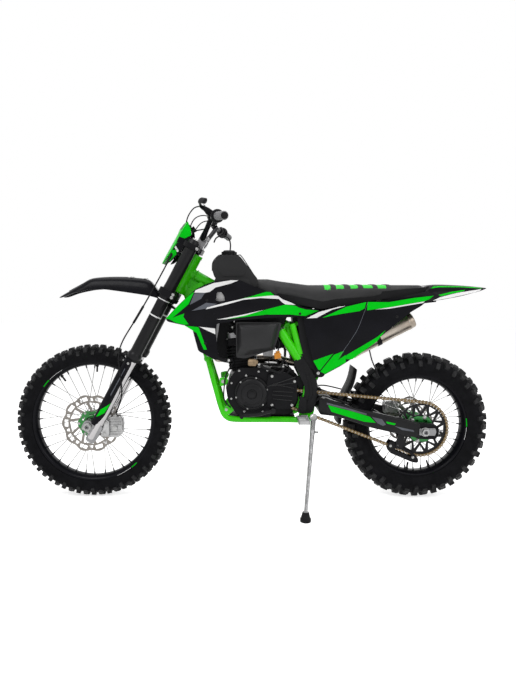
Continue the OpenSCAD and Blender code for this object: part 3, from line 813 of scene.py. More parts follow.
def build_wheels():
    front, rear = FRONT_HUB, REAR_HUB
    tall, low = sizes().front_knob / MM, sizes().rear_knob / MM
    tyre("front", "front_wheel", front, 254, 27, (347 - tall - 28, 28, 41),
         [(0, 24, 21, tall, 0), (25, 18, 19, tall - 1, .5), (50, 17, 21, tall - 3.5, 0), (73, 15, 19, tall - 7.5, .5)],
         30, "front_tyre")
    tyre("rear", "rear_wheel", rear, 216, 32, (337 - low - 38, 38, 51),
         [(0, 34, 26, low, 0), (26, 24, 26, low - 1.5, .5), (52, 22, 28, low - 6, 0), (74, 18, 26, low - 11, .5)],
         22, "rear_tyre")
    rim("front", "front_wheel", front, 254, 27, "front_rim")
    rim("rear", "rear_wheel", rear, 216, 32, "rear_rim")
    nipples("front", "front_wheel", front, 254, 33, (37, 27))
    nipples("rear", "rear_wheel", rear, 216, 47, (41, 31))
    refinish("front_spokes", zinc())
    refinish("rear_spokes", zinc())
    rim_marks("front", "front_wheel", front, 254, 27, [(137, 145), (-51, -44.5)], [(121, 136), (-67, -52)])
    rim_marks("rear", "rear_wheel", rear, 216, 32, [(-0.5, 9)], [(-16, -1.5)])
    stems("front", "front_wheel", front, 254, [88, 127])
    stems("rear", "rear_wheel", rear, 216, [-98, -70])
    build_front_hub(front)
    build_rear_hub(rear)


def build_front_hub(hub):
    profile = [(-58, 14), (-58, 24), (-56, 30), (-48, 33), (-41, 36), (-41, 38), (-39, 39), (-25, 39), (-23, 37),
               (-20, 27), (-10, 24), (10, 24), (20, 27), (23, 37), (25, 39), (39, 39), (41, 37), (44, 30), (52, 24),
               (58, 22), (58, 14)]
    piece("front_hub_shell", lathe(profile, hub, (0, 1, 0), 64), hub_green(), "front_wheel", replaces=["front_hub"],
          crease=40)
    star = lobed(60, 9, 6, 120, 0.5)
    piece("front_disc_carrier", plate(star, wheel_plane(hub, -66), 8, [circle(30, 32)]
                                      + windows(6, 37, 44, 12, 13, 0, 0.5, 2.5)),
          hub_green(), "front_wheel", bevel=0.8)
    piece("front_brake_disc", wave_disc(hub, -62, 4, 130, 10, 49), disc_steel(), "front_wheel",
          replaces=["front_disc"], crease=30)
    spots = turned_y(60 * np.arange(6)) @ np.array([53.0, 0, 0]) + hub + [0, -66, 0]
    piece("front_disc_bolts", bolts(spots, (0, -1, 0), 4.2, 3.2), zinc(), "front_wheel")
    seal = lathe([(-70, 14), (-70, 22), (-58, 23), (-58, 14)], hub, (0, 1, 0), 40)
    piece("front_wheel_seals", both(seal), soft_rubber(), "front_wheel")
    refinish("front_axle", cast_alloy())


def truss(count, inner, outer, wide):
    """Triangular holes round a sprocket that point outwards and inwards in turn, leaving a truss."""
    holes = []
    for k in range(count):
        middle = 360 * k / count
        if k % 2:
            corners = [polar(inner, middle - wide), polar(inner, middle + wide), polar(outer - 9, middle)]
        else:
            corners = [polar(outer, middle - wide * 0.8), polar(inner + 9, middle), polar(outer, middle + wide * 0.8)]
        holes.append(rounded(np.array(corners), 2.5, 2))
    return holes


def build_rear_hub(hub):
    profile = [(-71, 14), (-71, 30), (-70, 60), (-58, 62), (-56, 58), (-54, 44), (-47, 42), (-45, 52), (-43, 53),
               (-29, 53), (-27, 51), (-23, 34), (-10, 30), (10, 30), (23, 34), (27, 51), (29, 53), (43, 53), (45, 51),
               (50, 40), (60, 40), (62, 46), (74, 47), (75, 44), (75, 14)]
    piece("rear_hub_shell", lathe(profile, hub, (0, 1, 0), 64), hub_green(), "rear_wheel", replaces=["rear_hub"],
          crease=40)
    teeth = 48
    step = np.repeat(np.arange(teeth), 6)
    part = np.tile([0.0, 0.16, 0.36, 0.46, 0.54, 0.64], teeth)
    radius = np.tile([113.6, 113.6, 115.4, 117.2, 117.2, 115.4], teeth)
    outline = polar(radius, 360 * (step + part) / teeth)
    holes = [circle(46, 48)] + truss(24, 66, 107.5, 12.2)
    piece("rear_sprocket_plate", plate(outline, wheel_plane(hub, -78.5), 6.5, holes), black_paint(), "rear_wheel",
          replaces=["rear_sprocket"], crease=30)
    spots = turned_y(60 * np.arange(6) + 15) @ np.array([56.0, 0, 0]) + hub + [0, -84, 0]
    carrier = plate(lobed(62, 5, 6, 120, 0.6), wheel_plane(hub, -84), 5.5, [circle(27, 40)]
                    + windows(6, 36, 48, 12, 15, 6, 0.0, 2.5))
    piece("rear_sprocket_carrier", carrier, hub_green(), "rear_wheel", bevel=0.8)
    piece("rear_sprocket_bolts", bolts(spots, (0, -1, 0), 6.5, 6), zinc(), "rear_wheel")
    piece("rear_brake_disc", wave_disc(hub, 75, 4, 115, 8, 40), disc_steel(), "rear_wheel", replaces=["rear_disc"],
          crease=30)
    spots = turned_y(45 * np.arange(8)) @ np.array([44.0, 0, 0]) + hub + [0, 79, 0]
    piece("rear_disc_bolts", bolts(spots, (0, 1, 0), 4.2, 3.2), zinc(), "rear_wheel")
    cush = lathe([(-80, 14), (-80, 27), (-71, 29), (-71, 14)], hub, (0, 1, 0), 40)
    piece("rear_wheel_seals", joined([cush, lathe([(75, 14), (75, 26), (81, 24), (81, 14)], hub, (0, 1, 0), 40)]),
          soft_rubber(), "rear_wheel")


# ---------------------------------------------------------------- drive and rear end

GEAR_SHAFT = np.array([110, 0, 480.0])
PIVOT = np.array([215, 0, 470.0])


def chain_path():
    """Even points along the chain's loop: an arc round each sprocket, joined by their two tangents."""
    front, back, small, large = GEAR_SHAFT[[0, 2]], REAR_HUB[[0, 2]], 33.0, 122.0
    span = back - front
    heading = math.atan2(span[1], span[0])
    spread = math.acos((small - large) / np.linalg.norm(span))
    round_back = np.linspace(heading - spread, heading + spread, 200)
    round_front = np.linspace(heading + spread, heading - spread + TURN, 80)
    loop = np.concatenate([back + large * np.stack([np.cos(round_back), np.sin(round_back)], -1),
                           front + small * np.stack([np.cos(round_front), np.sin(round_front)], -1)])
    loop = np.concatenate([loop, loop[:1]])
    along = np.concatenate([[0], np.cumsum(np.linalg.norm(np.diff(loop, axis=0), axis=1))])
    count = 2 * round(along[-1] / (sizes().link / MM) / 2)
    at = np.linspace(0, along[-1], count, endpoint=False)
    return np.stack([np.interp(at, along, loop[:, 0]), np.interp(at, along, loop[:, 1])], -1)


def build_chain():
    flat = chain_path()
    pins = np.stack([flat[:, 0], np.full(len(flat), -75.0), flat[:, 1]], -1)
    ahead = np.roll(pins, -1, 0)
    run = unit(ahead - pins)
    turns = np.stack([run, np.broadcast_to([0.0, 1, 0], run.shape), np.cross(run, [0, 1, 0])], -1)
    gap = sizes().link / MM / 2
    t = np.radians([-75, -40, 0, 40, 75])
    lobe = np.stack([gap + 7.2 * np.cos(t), 7.2 * np.sin(t)], -1)
    outline = np.concatenate([lobe, [[0, 4.4]], lobe[::-1] * [-1, 1], [[0, -4.4]]])
    plane = lambda u, v, depth: np.stack([u, depth + 0 * u, v], -1)
    link = plate(outline, plane, 1.7)
    middle = (pins + ahead) / 2
    links = []
    for first, inner, outer in ((0, 4.4, -6.1), (1, 6.3, -8.0)):
        for shift in (inner, outer):
            links.append(repeated(link, turns[first::2], middle[first::2] + [0, shift, 0]))
    piece("chain_links", joined(links), chain_gold(), "chassis", ["chain"], crease=40)
    pin = lathe([(-8.8, 1.8), (-8.6, 2.5), (8.6, 2.5), (8.8, 1.8)], (0, 0, 0), (0, 1, 0), 8)
    roller = lathe([(-4.2, 4.2), (4.2, 4.2)], (0, 0, 0), (0, 1, 0), 8)
    piece("chain_pins", joined([repeated(pin, np.eye(3), pins), repeated(roller, np.eye(3), pins)]), brushed_steel(),
          crease=50)


def build_drive_side():
    build_chain()
    guide = [(588, 258), (598, 230), (700, 188), (726, 184), (730, 196), (726, 208), (708, 228), (650, 258),
             (622, 276), (598, 284)]
    slot = rounded([(618, 250), (624, 240), (692, 212), (698, 218), (690, 226), (640, 248)], 4)
    piece("chain_guide_plates", joined([slab(guide, -94, -90, 8, [slot]), slab(guide, -60, -57, 8, [slot]),
                                        slab([(600, 236), (700, 194), (726, 190), (726, 196), (702, 202), (604, 243)],
                                             -91, -59)]),
          matt_black(), replaces=["chain_guide"], bevel=1.0)
    piece("chain_guide_bracket", slab([(620, 262), (652, 250), (666, 336), (644, 342), (630, 300)], -99, -92, 6),
          black_paint(), bevel=1.0)
    piece("chain_guide_bolts", bolts([(632, -94, 264), (703, -94, 210), (600, -94, 262), (652, -99, 322)], size=4.5),
          zinc())


def box_run(stations):
    """A tapering box along x: at each station its low and high edge and two sides, corners cut by a fifth."""
    sections = []
    for x, low, high, near, far in stations:
        middle, tall = (low + high) / 2, (high - low) / 2
        centre, wide = (near + far) / 2, (far - near) / 2
        ring = np.array([(1, .62), (.9, .88), (.62, 1), (-.62, 1), (-.9, .88), (-1, .62), (-1, -.62), (-.9, -.88),
                         (-.62, -1), (.62, -1), (.9, -.88), (1, -.62)])
        sections.append(np.stack([np.full(12, x), centre + wide * ring[:, 0], middle + tall * ring[:, 1]], -1))
    return loft(sections)


def build_rear_end():
    stations = [(268, 424, 478, -126, -98), (300, 414, 482, -128, -98), (386, 389, 454, -128, -98),
                (427, 376, 440, -128, -98), (501, 352, 424, -128, -98), (600, 330, 402, -128, -98),
                (640, 322, 394, -128, -98), (690, 311, 381, -128, -98), (720, 307, 374, -128, -98)]
    arms = both(box_run(stations))
    ends = both(slab([(712, 304), (790, 302), (803, 318), (806, 337), (803, 356), (790, 368), (712, 376)],
                     -126, -101, 9))
    cross = slab([(272, 410), (346, 402), (352, 430), (344, 462), (276, 476), (262, 446)], -124, 124, 10)
    heads = joined([lathe([(-74, 20), (-72, 27), (-50, 27), (-46, 24), (60, 24), (74, 20)], PIVOT, (0, 1, 0), 40),
                    slab([(222, 448), (290, 414), (300, 440), (296, 472), (222, 494)], -58, 58, 8)])
    piece("swingarm_arms", arms, black_paint(), replaces=["swingarm"], bevel=1.6, crease=20)
    piece("swingarm_castings", joined([ends, cross, heads]), cast_black(), bevel=2.5)
    beads = [tube(weld_loop(x, low, high), 2.2) for x, low, high in ((712, 309, 376), (300, 415, 482))]
    piece("swingarm_welds", joined([both(bead) for bead in beads]), black_paint())
    face = side_plane(-128.5)
    stripe = joined([plate(outline, face, 0.7) for outline in (
        [(308, 452), (420, 424), (494, 402), (520, 376), (470, 380), (414, 396), (322, 424)],
        [(566, 382), (610, 373), (604, 366), (572, 372)])])
    chevron = joined([plate(outline, face, 0.7) for outline in (
        [(502, 402), (548, 392), (566, 368), (552, 362), (528, 374)],
        [(300, 464), (390, 442), (480, 416), (476, 410), (388, 434), (300, 456)],
        [(604, 362), (690, 344), (694, 336), (640, 344)])])
    piece("swingarm_stripe", both(stripe), green_plastic())
    piece("swingarm_chevron", both(chevron), grey_vinyl())
    pad = sweep(smooth([(258, -117, 470), (282, -117, 492), (330, -117, 480), (400, -117, 458)], 6),
                rounded([(-2.5, -8), (2.5, -8), (2.5, 8), (-2.5, 8)], 2, 2), (0, 1, 0))
    piece("swingarm_rub_pad", pad, matt_black())
    adjusters = both(joined([slab([(716, 322), (786, 320), (792, 337), (786, 354), (716, 352)], -131.5, -128, 5),
                             rod((786, -113, 338), (828, -113, 339), 4.2), rod((806, -113, 338), (812, -113, 338), 8)]))
    piece("chain_adjusters", adjusters, cast_alloy(), bevel=0.8)
    marks = np.arange(724, 786, 7.0)
    ticks = [slab([(x, 347), (x + 1.2, 347), (x + 1.2, 352), (x, 352)], -131.9, -131.5) for x in marks]
    piece("adjuster_marks", joined([both(tick) for tick in ticks]), black_paint())
    nut = plate(circle(17, 6), wheel_plane(REAR_HUB, -147), 12, [circle(9.5, 24)])
    washer = plate(circle(20, 32), wheel_plane(REAR_HUB, -135), 3, [circle(9.5, 24)])
    head = plate(circle(17, 6), wheel_plane(REAR_HUB, 136), 10, [circle(9.5, 24)])
    refinish("rear_axle", cast_alloy())
    piece("rear_axle_nuts", joined([nut, washer, head]), zinc(), bevel=1.2)
    build_shock()
    build_rear_brake()


def weld_loop(x, low, high):
    """A weld's path round the arm's box section."""
    corner = [(x, -99, low + 3), (x, -127, low + 3), (x, -127, high - 3), (x, -99, high - 3), (x, -99, low + 3)]
    flat = stepped(np.array(corner), 6)
    wobble = 0.5 * np.sin(np.arange(len(flat)) * 2.4)[:, None]
    return flat + wobble * [1, 0, 0]


def build_shock():
    top, low = np.array([142.0, 0, 760]), np.array([277.0, 0, 490])
    run = unit(low - top)
    at = lambda distance: top + distance * run
    body = lathe([(0, 12), (2, 17), (18, 20), (40, 22), (58, 24), (60, 33), (66, 35), (72, 35), (76, 27), (120, 25),
                  (150, 25), (152, 12), (240, 11), (244, 28), (252, 30), (258, 18), (285, 15), (299, 15), (302, 10)],
                 top, run, 40)
    piece("shock_body", body, cast_alloy(), replaces=["shock_absorber"], crease=35)
    piece("shock_spring", helix(at(74), at(244), 31, 8.5, 4.6), frame_paint(), crease=80)
    reservoir = lathe([(0, 12), (3, 18), (70, 18), (74, 14)], (150, 44, 700), (0.35, 0.1, -0.93), 32)
    piece("shock_reservoir", reservoir, brushed_steel(), crease=40)
    piece("shock_hose", tube(smooth([(146, 10, 744), (146, 30, 730), (150, 44, 706)], 6), 5), soft_rubber())
    piece("shock_linkage", both(slab([(262, 482), (292, 478), (300, 500), (276, 512), (258, 500)], -22, -15, 7)),
          cast_black(), bevel=1.2)


def build_rear_brake():
    caliper = slab([(614, 372), (626, 364), (672, 362), (684, 374), (684, 416), (674, 430), (624, 432), (612, 420)],
                   83, 99, 8)
    inner = slab([(618, 376), (680, 376), (680, 424), (618, 424)], 60, 71, 6)
    bridge = slab([(616, 384), (622, 384), (626, 410), (640, 424), (658, 425), (664, 431), (622, 431), (616, 424)], 62,
                  96, 1)
    arm = slab([(660, 374), (728, 356), (744, 344), (744, 322), (730, 318), (724, 352), (664, 362)], 86, 97, 5)
    pistons = joined([lathe([(97, 13), (104, 12), (106, 9)], (x, 0, 398), (0, 1, 0), 24) for x in (632, 664)])
    piece("rear_caliper_body", joined([caliper, inner, bridge, arm, pistons]), alloy_with_painted_light(),
          replaces=["rear_caliper"], bevel=1.6)
    piece("rear_caliper_bolts", bolts([(648, 99, 422), (648, 99, 372), (716, 97, 362)], (0, 1, 0), 5), zinc())
    line = smooth([(630, 100, 424), (560, 116, 452), (440, 122, 470), (320, 126, 492), (240, 112, 470),
                   (176, 112, 420), (150, 118, 384)], 10)
    piece("rear_brake_hose", tube(line, 3.2, (0, 1, 0), 10), soft_rubber())
    cylinder = joined([lathe([(0, 9), (4, 12), (60, 12), (64, 9)], (160, 112, 380), (0.25, 0, 0.97), 24),
                       lathe([(0, 15), (2, 18), (34, 19), (38, 15), (44, 15), (46, 12)], (182, 112, 452),
                             (0.1, 0, 1), 28)])
    piece("rear_master_cylinder", cylinder, cast_black(), crease=35)


def build_stand():
    pivot, axis = np.array([240.0, -152, 402]), unit([-0.147, -0.910, 0.388])
    foot = np.array([5 + 193.0, -307 + place([0, 0, 0])[1] / MM, 0]) * MM
    end = REAR_HUB + ((foot / MM + [0, 0, 30]) - REAR_ROW) @ UPRIGHT
    run = unit(end - pivot)
    path = pivot + (end - pivot) * np.linspace(0, 1, 14)[:, None]
    width = np.array([1.25, 1.3, 1.25, 1.15, 1.08, 1.02, .98, .95, .92, .9, .88, .86, .85, .85])
    oval = circle(1, 24) * [8.6, 10.4]
    leg = sweep(path, oval, axis, width)
    knuckle = lathe([(-15, 8), (-15, 15), (-13, 16.5), (13, 16.5), (15, 15), (15, 8)], pivot, axis, 36)
    ring = lathe([(-1, 9), (-1, 12), (8, 12.5), (10, 11)], end - 10 * run, run, 28)
    tab = rod(pivot + 60 * run, pivot + 60 * run + 26 * unit(np.cross(axis, run)), 4.2)
    piece("stand_leg", joined([leg, knuckle, ring, tab]), stand_steel(), "stand", ["side_stand"], crease=40)
    piece("stand_bolt", bolts([pivot + 20 * axis], axis, 9, 6), zinc())
    piece("stand_spring", helix(pivot + 52 * run + 15 * axis, pivot + 14 * run + 15 * axis, 5.2, 11, 1.3, 14, 0.3),
          zinc(), "stand", crease=80)
    refinish("stand_foot", soft_rubber())


# ---------------------------------------------------------------- steered front end

LEG_X, LEG_Y, AXLE_X = -25.0, 95.0, -60.0


def upright(profile, x=LEG_X, y=-LEG_Y, count=48):
    """A turned part standing along the steering axis, in the fork's own frame."""
    return lathe(profile, (x, y, 0), (0, 0, 1), count)


def build_fork_legs():
    upper = [(352, 25), (352, 31), (356, 32.5), (372, 32.5), (378, 29), (384, 27.3), (520, 27), (640, 27), (652, 28),
             (700, 28), (712, 27), (880, 27), (926, 27), (928, 26), (928, 21), (934, 20), (934, 12), (931, 11)]
    piece("fork_upper_legs", fork_frame(both(upright(upper, count=64))), black_paint(), "fork",
          replaces=["fork_upper_tubes"], crease=35)
    lower = [(-48, 16), (-46, 21), (-40, 23.5), (352, 23.5)]
    piece("fork_lower_legs", fork_frame(both(upright(lower, count=64))), chrome(), "fork",
          ["fork_lower_tubes"], crease=35)
    knob = joined([upright([(934, 10), (934, 12), (940, 11), (941, 5)], count=6),
                   lathe([(934, 3), (938, 3), (939, 2)], (LEG_X + 13, -LEG_Y, 0), (0, 0, 1), 12)])
    piece("fork_adjusters", fork_frame(both(knob)), zinc(), "fork")
    seal = [(340, 24), (342, 29), (351, 30.5), (352, 24)]
    piece("fork_wipers", fork_frame(both(upright(seal))), soft_rubber(), "fork", crease=35)
    lug = slab([(-84, -16), (-76, -23), (-44, -25), (-22, -52), (-4, -46), (0, -20), (0, 24), (-20, 34), (-44, 26),
                (-74, 24), (-84, 14)], -116, -78, 9)
    foot = slab([(-46, -40), (-4, -40), (-4, -54), (-10, -60), (-38, -60), (-46, -52)], -112, -82, 6)
    piece("fork_lugs", fork_frame(both(joined([lug, foot]))), cast_alloy(), "fork", bevel=3.0)
    pinch = np.array([(-74.0, -117, -16), (-46, -117, -18)])
    screws = joined([bolts(pinch, (0, -1, 0), 4.2, 4), bolts([(-25, -95, -60)], (0, 0, -1), 7, 4)])
    piece("fork_pinch_bolts", fork_frame(both(screws)), zinc(), "fork")
    ring = plate(circle(17, 48), wheel_plane(FRONT_HUB, -126), 9, [circle(10.2, 32)])
    nut = plate(circle(15, 6), wheel_plane(FRONT_HUB, -130), 5, [circle(9.4, 32)])
    piece("front_axle_nut", joined([ring, nut]), zinc(), "fork", bevel=1.0)
    collar = lathe([(-77, 13), (-77, 17), (-71, 19), (-68, 14)], FRONT_HUB, (0, 1, 0), 32)
    piece("front_axle_collars", both(collar), cast_alloy(), "fork")
    stripe = ring_band(27.35, 560, 566)
    second = ring_band(27.35, 640, 644)
    piece("fork_leg_rings", fork_frame(both(joined([stripe, second]))), white_vinyl(), "fork")


def ring_band(radius, low, high):
    """A thin band round a fork leg: a flat strip turned about the leg."""
    return upright([(low, radius - 1), (low, radius), (high, radius), (high, radius - 1)])


def guard_shell(low, high, radius, thick, start, end):
    """A curved guard: an arc about the leg, thick as a crescent, its reach and radius changing with height."""
    z = np.linspace(low, high, 40)
    t = (z - low) / (high - low)
    flare = radius + 3.0 * np.exp(-((t - 0.02) / 0.05) ** 2) + 2.0 * np.exp(-((t - 1) / 0.04) ** 2)
    first = start + 26 * np.clip((0.16 - t) / 0.16, 0, 1) ** 2 + 14 * np.clip((t - 0.93) / 0.07, 0, 1) ** 2
    last = end - 30 * np.clip((0.2 - t) / 0.2, 0, 1) ** 1.5 - 12 * np.clip((t - 0.93) / 0.07, 0, 1) ** 2
    part = np.linspace(0, 1, 22)[None]
    angle = np.radians(first[:, None] + (last - first)[:, None] * part)
    rib = 1.2 * np.exp(-((part - 0.5) / 0.05) ** 2) * (t[:, None] > 0.1) * (t[:, None] < 0.92)
    outer = flare[:, None] + rib
    sections = []
    for radii, turn in ((outer, 1), (outer - thick, -1)):
        x = LEG_X + radii * np.cos(angle)
        y = -LEG_Y + radii * np.sin(angle)
        sections.append(np.stack([x, y, np.broadcast_to(z[:, None], x.shape)], -1)[:, ::turn])
    return loft(np.concatenate(sections, 1))


def guard_face(u, v, depth):
    """A place on the guard from its turn about the leg, in degrees, and its height."""
    angle = np.radians(u)
    radius = 35.4 + 3.0 * np.exp(-((v - 24 - 6.5) / 16) ** 2) - depth
    return np.stack([LEG_X + radius * np.cos(angle), -LEG_Y + radius * np.sin(angle), v + 0 * u], -1)


def build_guards():
    shell = guard_shell(22, 346, 34.5, 3.6, 152, 286)
    piece("fork_guard_shells", fork_frame(both(shell)), gloss_black(), "fork", replaces=["fork_guards"],
          crease=45)
    lozenge = plate([(232, 58), (252, 70), (276, 92), (284, 142), (262, 118), (238, 96)], guard_face, 0.9, step=7)
    piece("fork_guard_patches", fork_frame(both(lozenge)), green_plastic(), "fork")
    bar = plate([(252, 176), (260, 168), (262, 300), (256, 306)], guard_face, 0.8, step=9)
    piece("fork_guard_stripes", fork_frame(both(bar)), grey_vinyl(), "fork")
    spots = guard_face(np.array([205.0, 205, 262]), np.array([330.0, 60, 330]), np.zeros(3))
    outward = unit(spots - [LEG_X, -LEG_Y, 0] - np.array([0, 0, 1]) * spots[:, 2:])
    screws = joined([(turned_bolt(4.0, 3.4)[0] @ aimed(way).T + spot, turned_bolt(4.0, 3.4)[1])
                     for spot, way in zip(spots, outward)])
    piece("fork_guard_bolts", fork_frame(both(screws)), zinc(), "fork")


def build_clamps():
    outline = [(-63, -116), (-50, -131), (0, -131), (13, -118), (11, -78), (20, -44), (20, 44), (11, 78), (9, 118),
               (0, 131), (-50, 131), (-63, 116), (-62, 74), (-44, 58), (-44, -58), (-62, -74)]
    lower = plate(rounded(outline, 9, 4), level_plane(690), 30)
    upper_outline = [(-62, -114), (-48, -130), (-2, -130), (11, -116), (13, -80), (20, -60), (22, -22), (22, 22),
                     (20, 60), (13, 80), (11, 116), (-2, 130), (-48, 130), (-62, 114), (-60, 76), (-38, 58),
                     (-34, 20), (-34, -20), (-38, -58), (-60, -76)]
    holes = [rounded([(-20, -62), (2, -58), (2, -34), (-20, -34)], 6),
             rounded([(-20, 34), (2, 34), (2, 58), (-20, 62)], 6)]
    upper = plate(rounded(upper_outline, 8, 4), level_plane(914), 22, holes)
    cone = lathe([(640, 18), (644, 24), (660, 26), (660, 12)], (0, 0, 0), (0, 0, 1), 40)
    piece("fork_clamps", fork_frame(joined([lower, upper, cone])), cast_black(), "fork", replaces=["triple_clamps"],
          bevel=2.4)
    posts = []
    for y in (-41, 41):
        low = slab([(-19, 913), (19, 913), (16, 928), (19, 944), (19, 959), (-19, 959), (-19, 944), (-16, 928)],
                   y - 14, y + 14, 3)
        top = slab([(-19, 961), (19, 961), (19, 967), (11, 978), (-11, 978), (-19, 967)], y - 14, y + 14, 4)
        posts += [low, top]
    piece("bar_clamps", fork_frame(joined(posts)), cast_alloy(), "fork", bevel=1.4)
    spots = [(x, y + s, 972) for x in (-15, 15) for y in (-41, 41) for s in (-8, 8)]
    stem = joined([lathe([(914, 20), (914, 24), (920, 24), (924, 20), (925, 8)], (0, 0, 0), (0, 0, 1), 6),
                   lathe([(914, 26), (916, 26), (917, 22)], (0, 0, 0), (0, 0, 1), 32)])
    side = joined([bolts([(4, s * 131, z)], (0, s, 0), 5, 4) for s in (-1, 1) for z in (668, 682, 903)])
    piece("fork_clamp_bolts", fork_frame(joined([bolts(spots, (0, 0, 1), 4, 4), stem, side])), zinc(), "fork")


def bar_at(y):
    """The bar's straight outer run: back and up in proportion to the distance out."""
    share = (y - 205) / 193
    return np.array([6 + 60 * share, y, 1049 + 4 * share])


def bar_line(side=1):
    """The bar's bend on one side, from the clamp out to its end."""
    path = [(0, 84, 960), (0.5, 100, 967), (2.5, 140, 999), (4.5, 192, 1040), bar_at(222), bar_at(232), bar_at(300),
            bar_at(398)]
    return smooth(path, 8) * [1, side, 1]


def grip_tube(side):
    """A grip: a sleeve round the bar with shallow rings, a thick inner flange and a rounded end."""
    y = np.linspace(291, 399, 109)
    radius = 16.2 + 0.9 * np.clip(np.cos((y - 300) * TURN / 6.0) * 2.0, -1, 1)
    radius = np.where((y > 330) & (y < 366), 16.9 + 0.4 * np.cos((y - 300) * TURN / 3.0), radius)
    radius = np.where(y < 296, 22.0 - 1.6 * np.abs(y - 293.5), radius)
    radius = np.where(y > 394, np.sqrt(np.clip(17.2 ** 2 - ((y - 394) * 1.7) ** 2, 100, None)), radius)
    path = np.stack([bar_at(v) for v in y]) * [1, side, 1]
    return tube(path, radius, (1, 0, 0), 28)


def lever_blade(side):
    """A lever blade: a flat oval carried along its bow, slimmer towards a ball at its tip."""
    path = smooth([(-36, 246, 1056), (-47, 262, 1058), (-50, 304, 1064), (-44, 344, 1067), (-22, 384, 1068)], 10)
    share = np.linspace(0, 1, len(path))
    scale = 1.15 - 0.4 * share + 0.35 * np.exp(-((share - 0.97) / 0.035) ** 2)
    oval = circle(1, 16) * [4.2, 6.4]
    return sweep(path * [1, side, 1], oval, (0, 0, 1), scale)


def build_bars():
    half = bar_line()
    middle = np.linspace(-78, 78, 9)[:, None] * [0, 1, 0] + [0, 0, 960]
    line = np.concatenate([half[::-1] * [1, -1, 1], middle, half])
    radius = np.where(np.abs(line[:, 1]) < 92, 14.0, 11.0)
    radius = np.where((np.abs(line[:, 1]) >= 92) & (np.abs(line[:, 1]) < 130), 14 - 3 * (np.abs(line[:, 1]) - 92) / 38,
                      radius)
    piece("handlebar_tube", fork_frame(tube(line, radius, (1, 0, 0), 32)), gloss_black(), "fork",
          ["handlebar"], crease=50)
    pad = sweep(np.stack([np.array([0.0, y, 960]) for y in np.linspace(-20, 20, 5)]), rounded(
        [(-20, -13), (20, -13), (20, 13), (-20, 13)], 7, 4), (1, 0, 0))
    piece("handlebar_clamp_cover", fork_frame(pad), soft_rubber(), "fork", bevel=2.0)
    piece("grip_sleeves", fork_frame(joined([grip_tube(1), grip_tube(-1)])), grip_rubber(), "fork",
          ["grips"], crease=60)
    caps = joined([rod(bar_at(393) * [1, s, 1], bar_at(401) * [1, s, 1], 13.5) for s in (-1, 1)])
    flanges = joined([rod(bar_at(286) * [1, s, 1], bar_at(297) * [1, s, 1], 27) for s in (-1, 1)])
    piece("grip_flanges", fork_frame(flanges), matt_black(), "fork", bevel=2.0)
    piece("grip_ends", fork_frame(caps), matt_black(), "fork")
    piece("brake_lever_blade", fork_frame(lever_blade(1)), brushed_steel(), "fork", ["hand_levers"],
          crease=50)
    piece("clutch_lever_blade", fork_frame(lever_blade(-1)), black_paint(), "fork", crease=50)
    tip = sweep(smooth([(-48, -330, 1066), (-42, -352, 1067), (-22, -386, 1068)], 8), circle(1, 16) * [8.0, 12.0],
                (0, 0, 1), np.r_[0.7, np.ones(15), 0.8])
    piece("clutch_lever_sleeve", fork_frame(tip), soft_rubber(), "fork", crease=50)
    build_perches()


def build_perches():
    """Lever perches, the switch box, the throttle housing and the brake's reservoir."""
    left, right = np.array([1, -1, 1]), np.array([1, 1, 1])
    parts = []
    for side in (left, right):
        ring = tube(np.stack([bar_at(y) for y in np.linspace(241, 265, 7)]) * side,
                    np.array([15, 17, 17.5, 17.5, 17.5, 17, 15]), (1, 0, 0), 28)
        arm = loft(np.stack([np.array([(x, y0, z0), (x, y1, z0), (x, y1, z1), (x, y0, z1)]) * side
                             for x, y0, y1, z0, z1 in ((4, 240, 266, 1036, 1064), (-14, 238, 266, 1040, 1066),
                                                       (-30, 236, 262, 1048, 1066), (-44, 238, 256, 1050, 1064))]))
        parts += [ring, arm]
    master = lathe([(0, 6), (3, 12), (52, 12), (56, 8)], (-20, 196, 1058), (0.02, 1, 0), 24)
    tank = loft([np.column_stack([rounded([(-44, 206), (-6, 206), (-6, 250), (-44, 250)], 9), np.full(20, z)])
                 for z in (1066, 1090, 1094)])
    piece("lever_perches", fork_frame(joined([*parts, master, tank])), cast_black(), "fork", bevel=1.6)
    lid = loft([np.column_stack([rounded([(-45, 205), (-5, 205), (-5, 251), (-45, 251)], 9), np.full(20, z)])
                for z in (1094, 1098)])
    screws = bolts([(-36, 212, 1098), (-14, 244, 1098)], (0, 0, 1), 3, 2)
    pivots = joined([bolts([(-38, s * 247, 1066)], (0, 0, 1), 5, 5) for s in (-1, 1)])
    piece("brake_reservoir_lid", fork_frame(joined([lid, screws, pivots])), zinc(), "fork", bevel=0.6)
    box = sweep(np.stack([bar_at(y) for y in (208, 211, 231, 234)]) * left,
                rounded([(-19, -15), (19, -19), (21, 12), (8, 20), (-19, 18)], 5, 3), (1, 0, 0), [0.9, 1, 1, 0.9])
    throttle = sweep(np.stack([bar_at(y) for y in (268, 271, 286, 289)]), rounded(
        [(-22, -18), (20, -20), (24, 14), (-6, 24), (-24, 16)], 8, 3), (1, 0, 0), [0.92, 1, 1, 0.92])
    piece("switch_boxes", fork_frame(joined([box, throttle])), matt_black(), "fork", bevel=1.2)
    button = lathe([(0, 6), (3, 6), (4, 4.5)], bar_at(221) * left + np.array([16, 0, 10]), (0.9, 0, 0.45), 20)
    piece("switch_button", fork_frame(button), green_plastic(), "fork")
    collar = joined([tube(np.stack([bar_at(y) for y in (236, 237, 239, 240)]) * left, [16, 17, 17, 16], (1, 0, 0), 24)])
    piece("switch_collar", fork_frame(collar), zinc(), "fork")


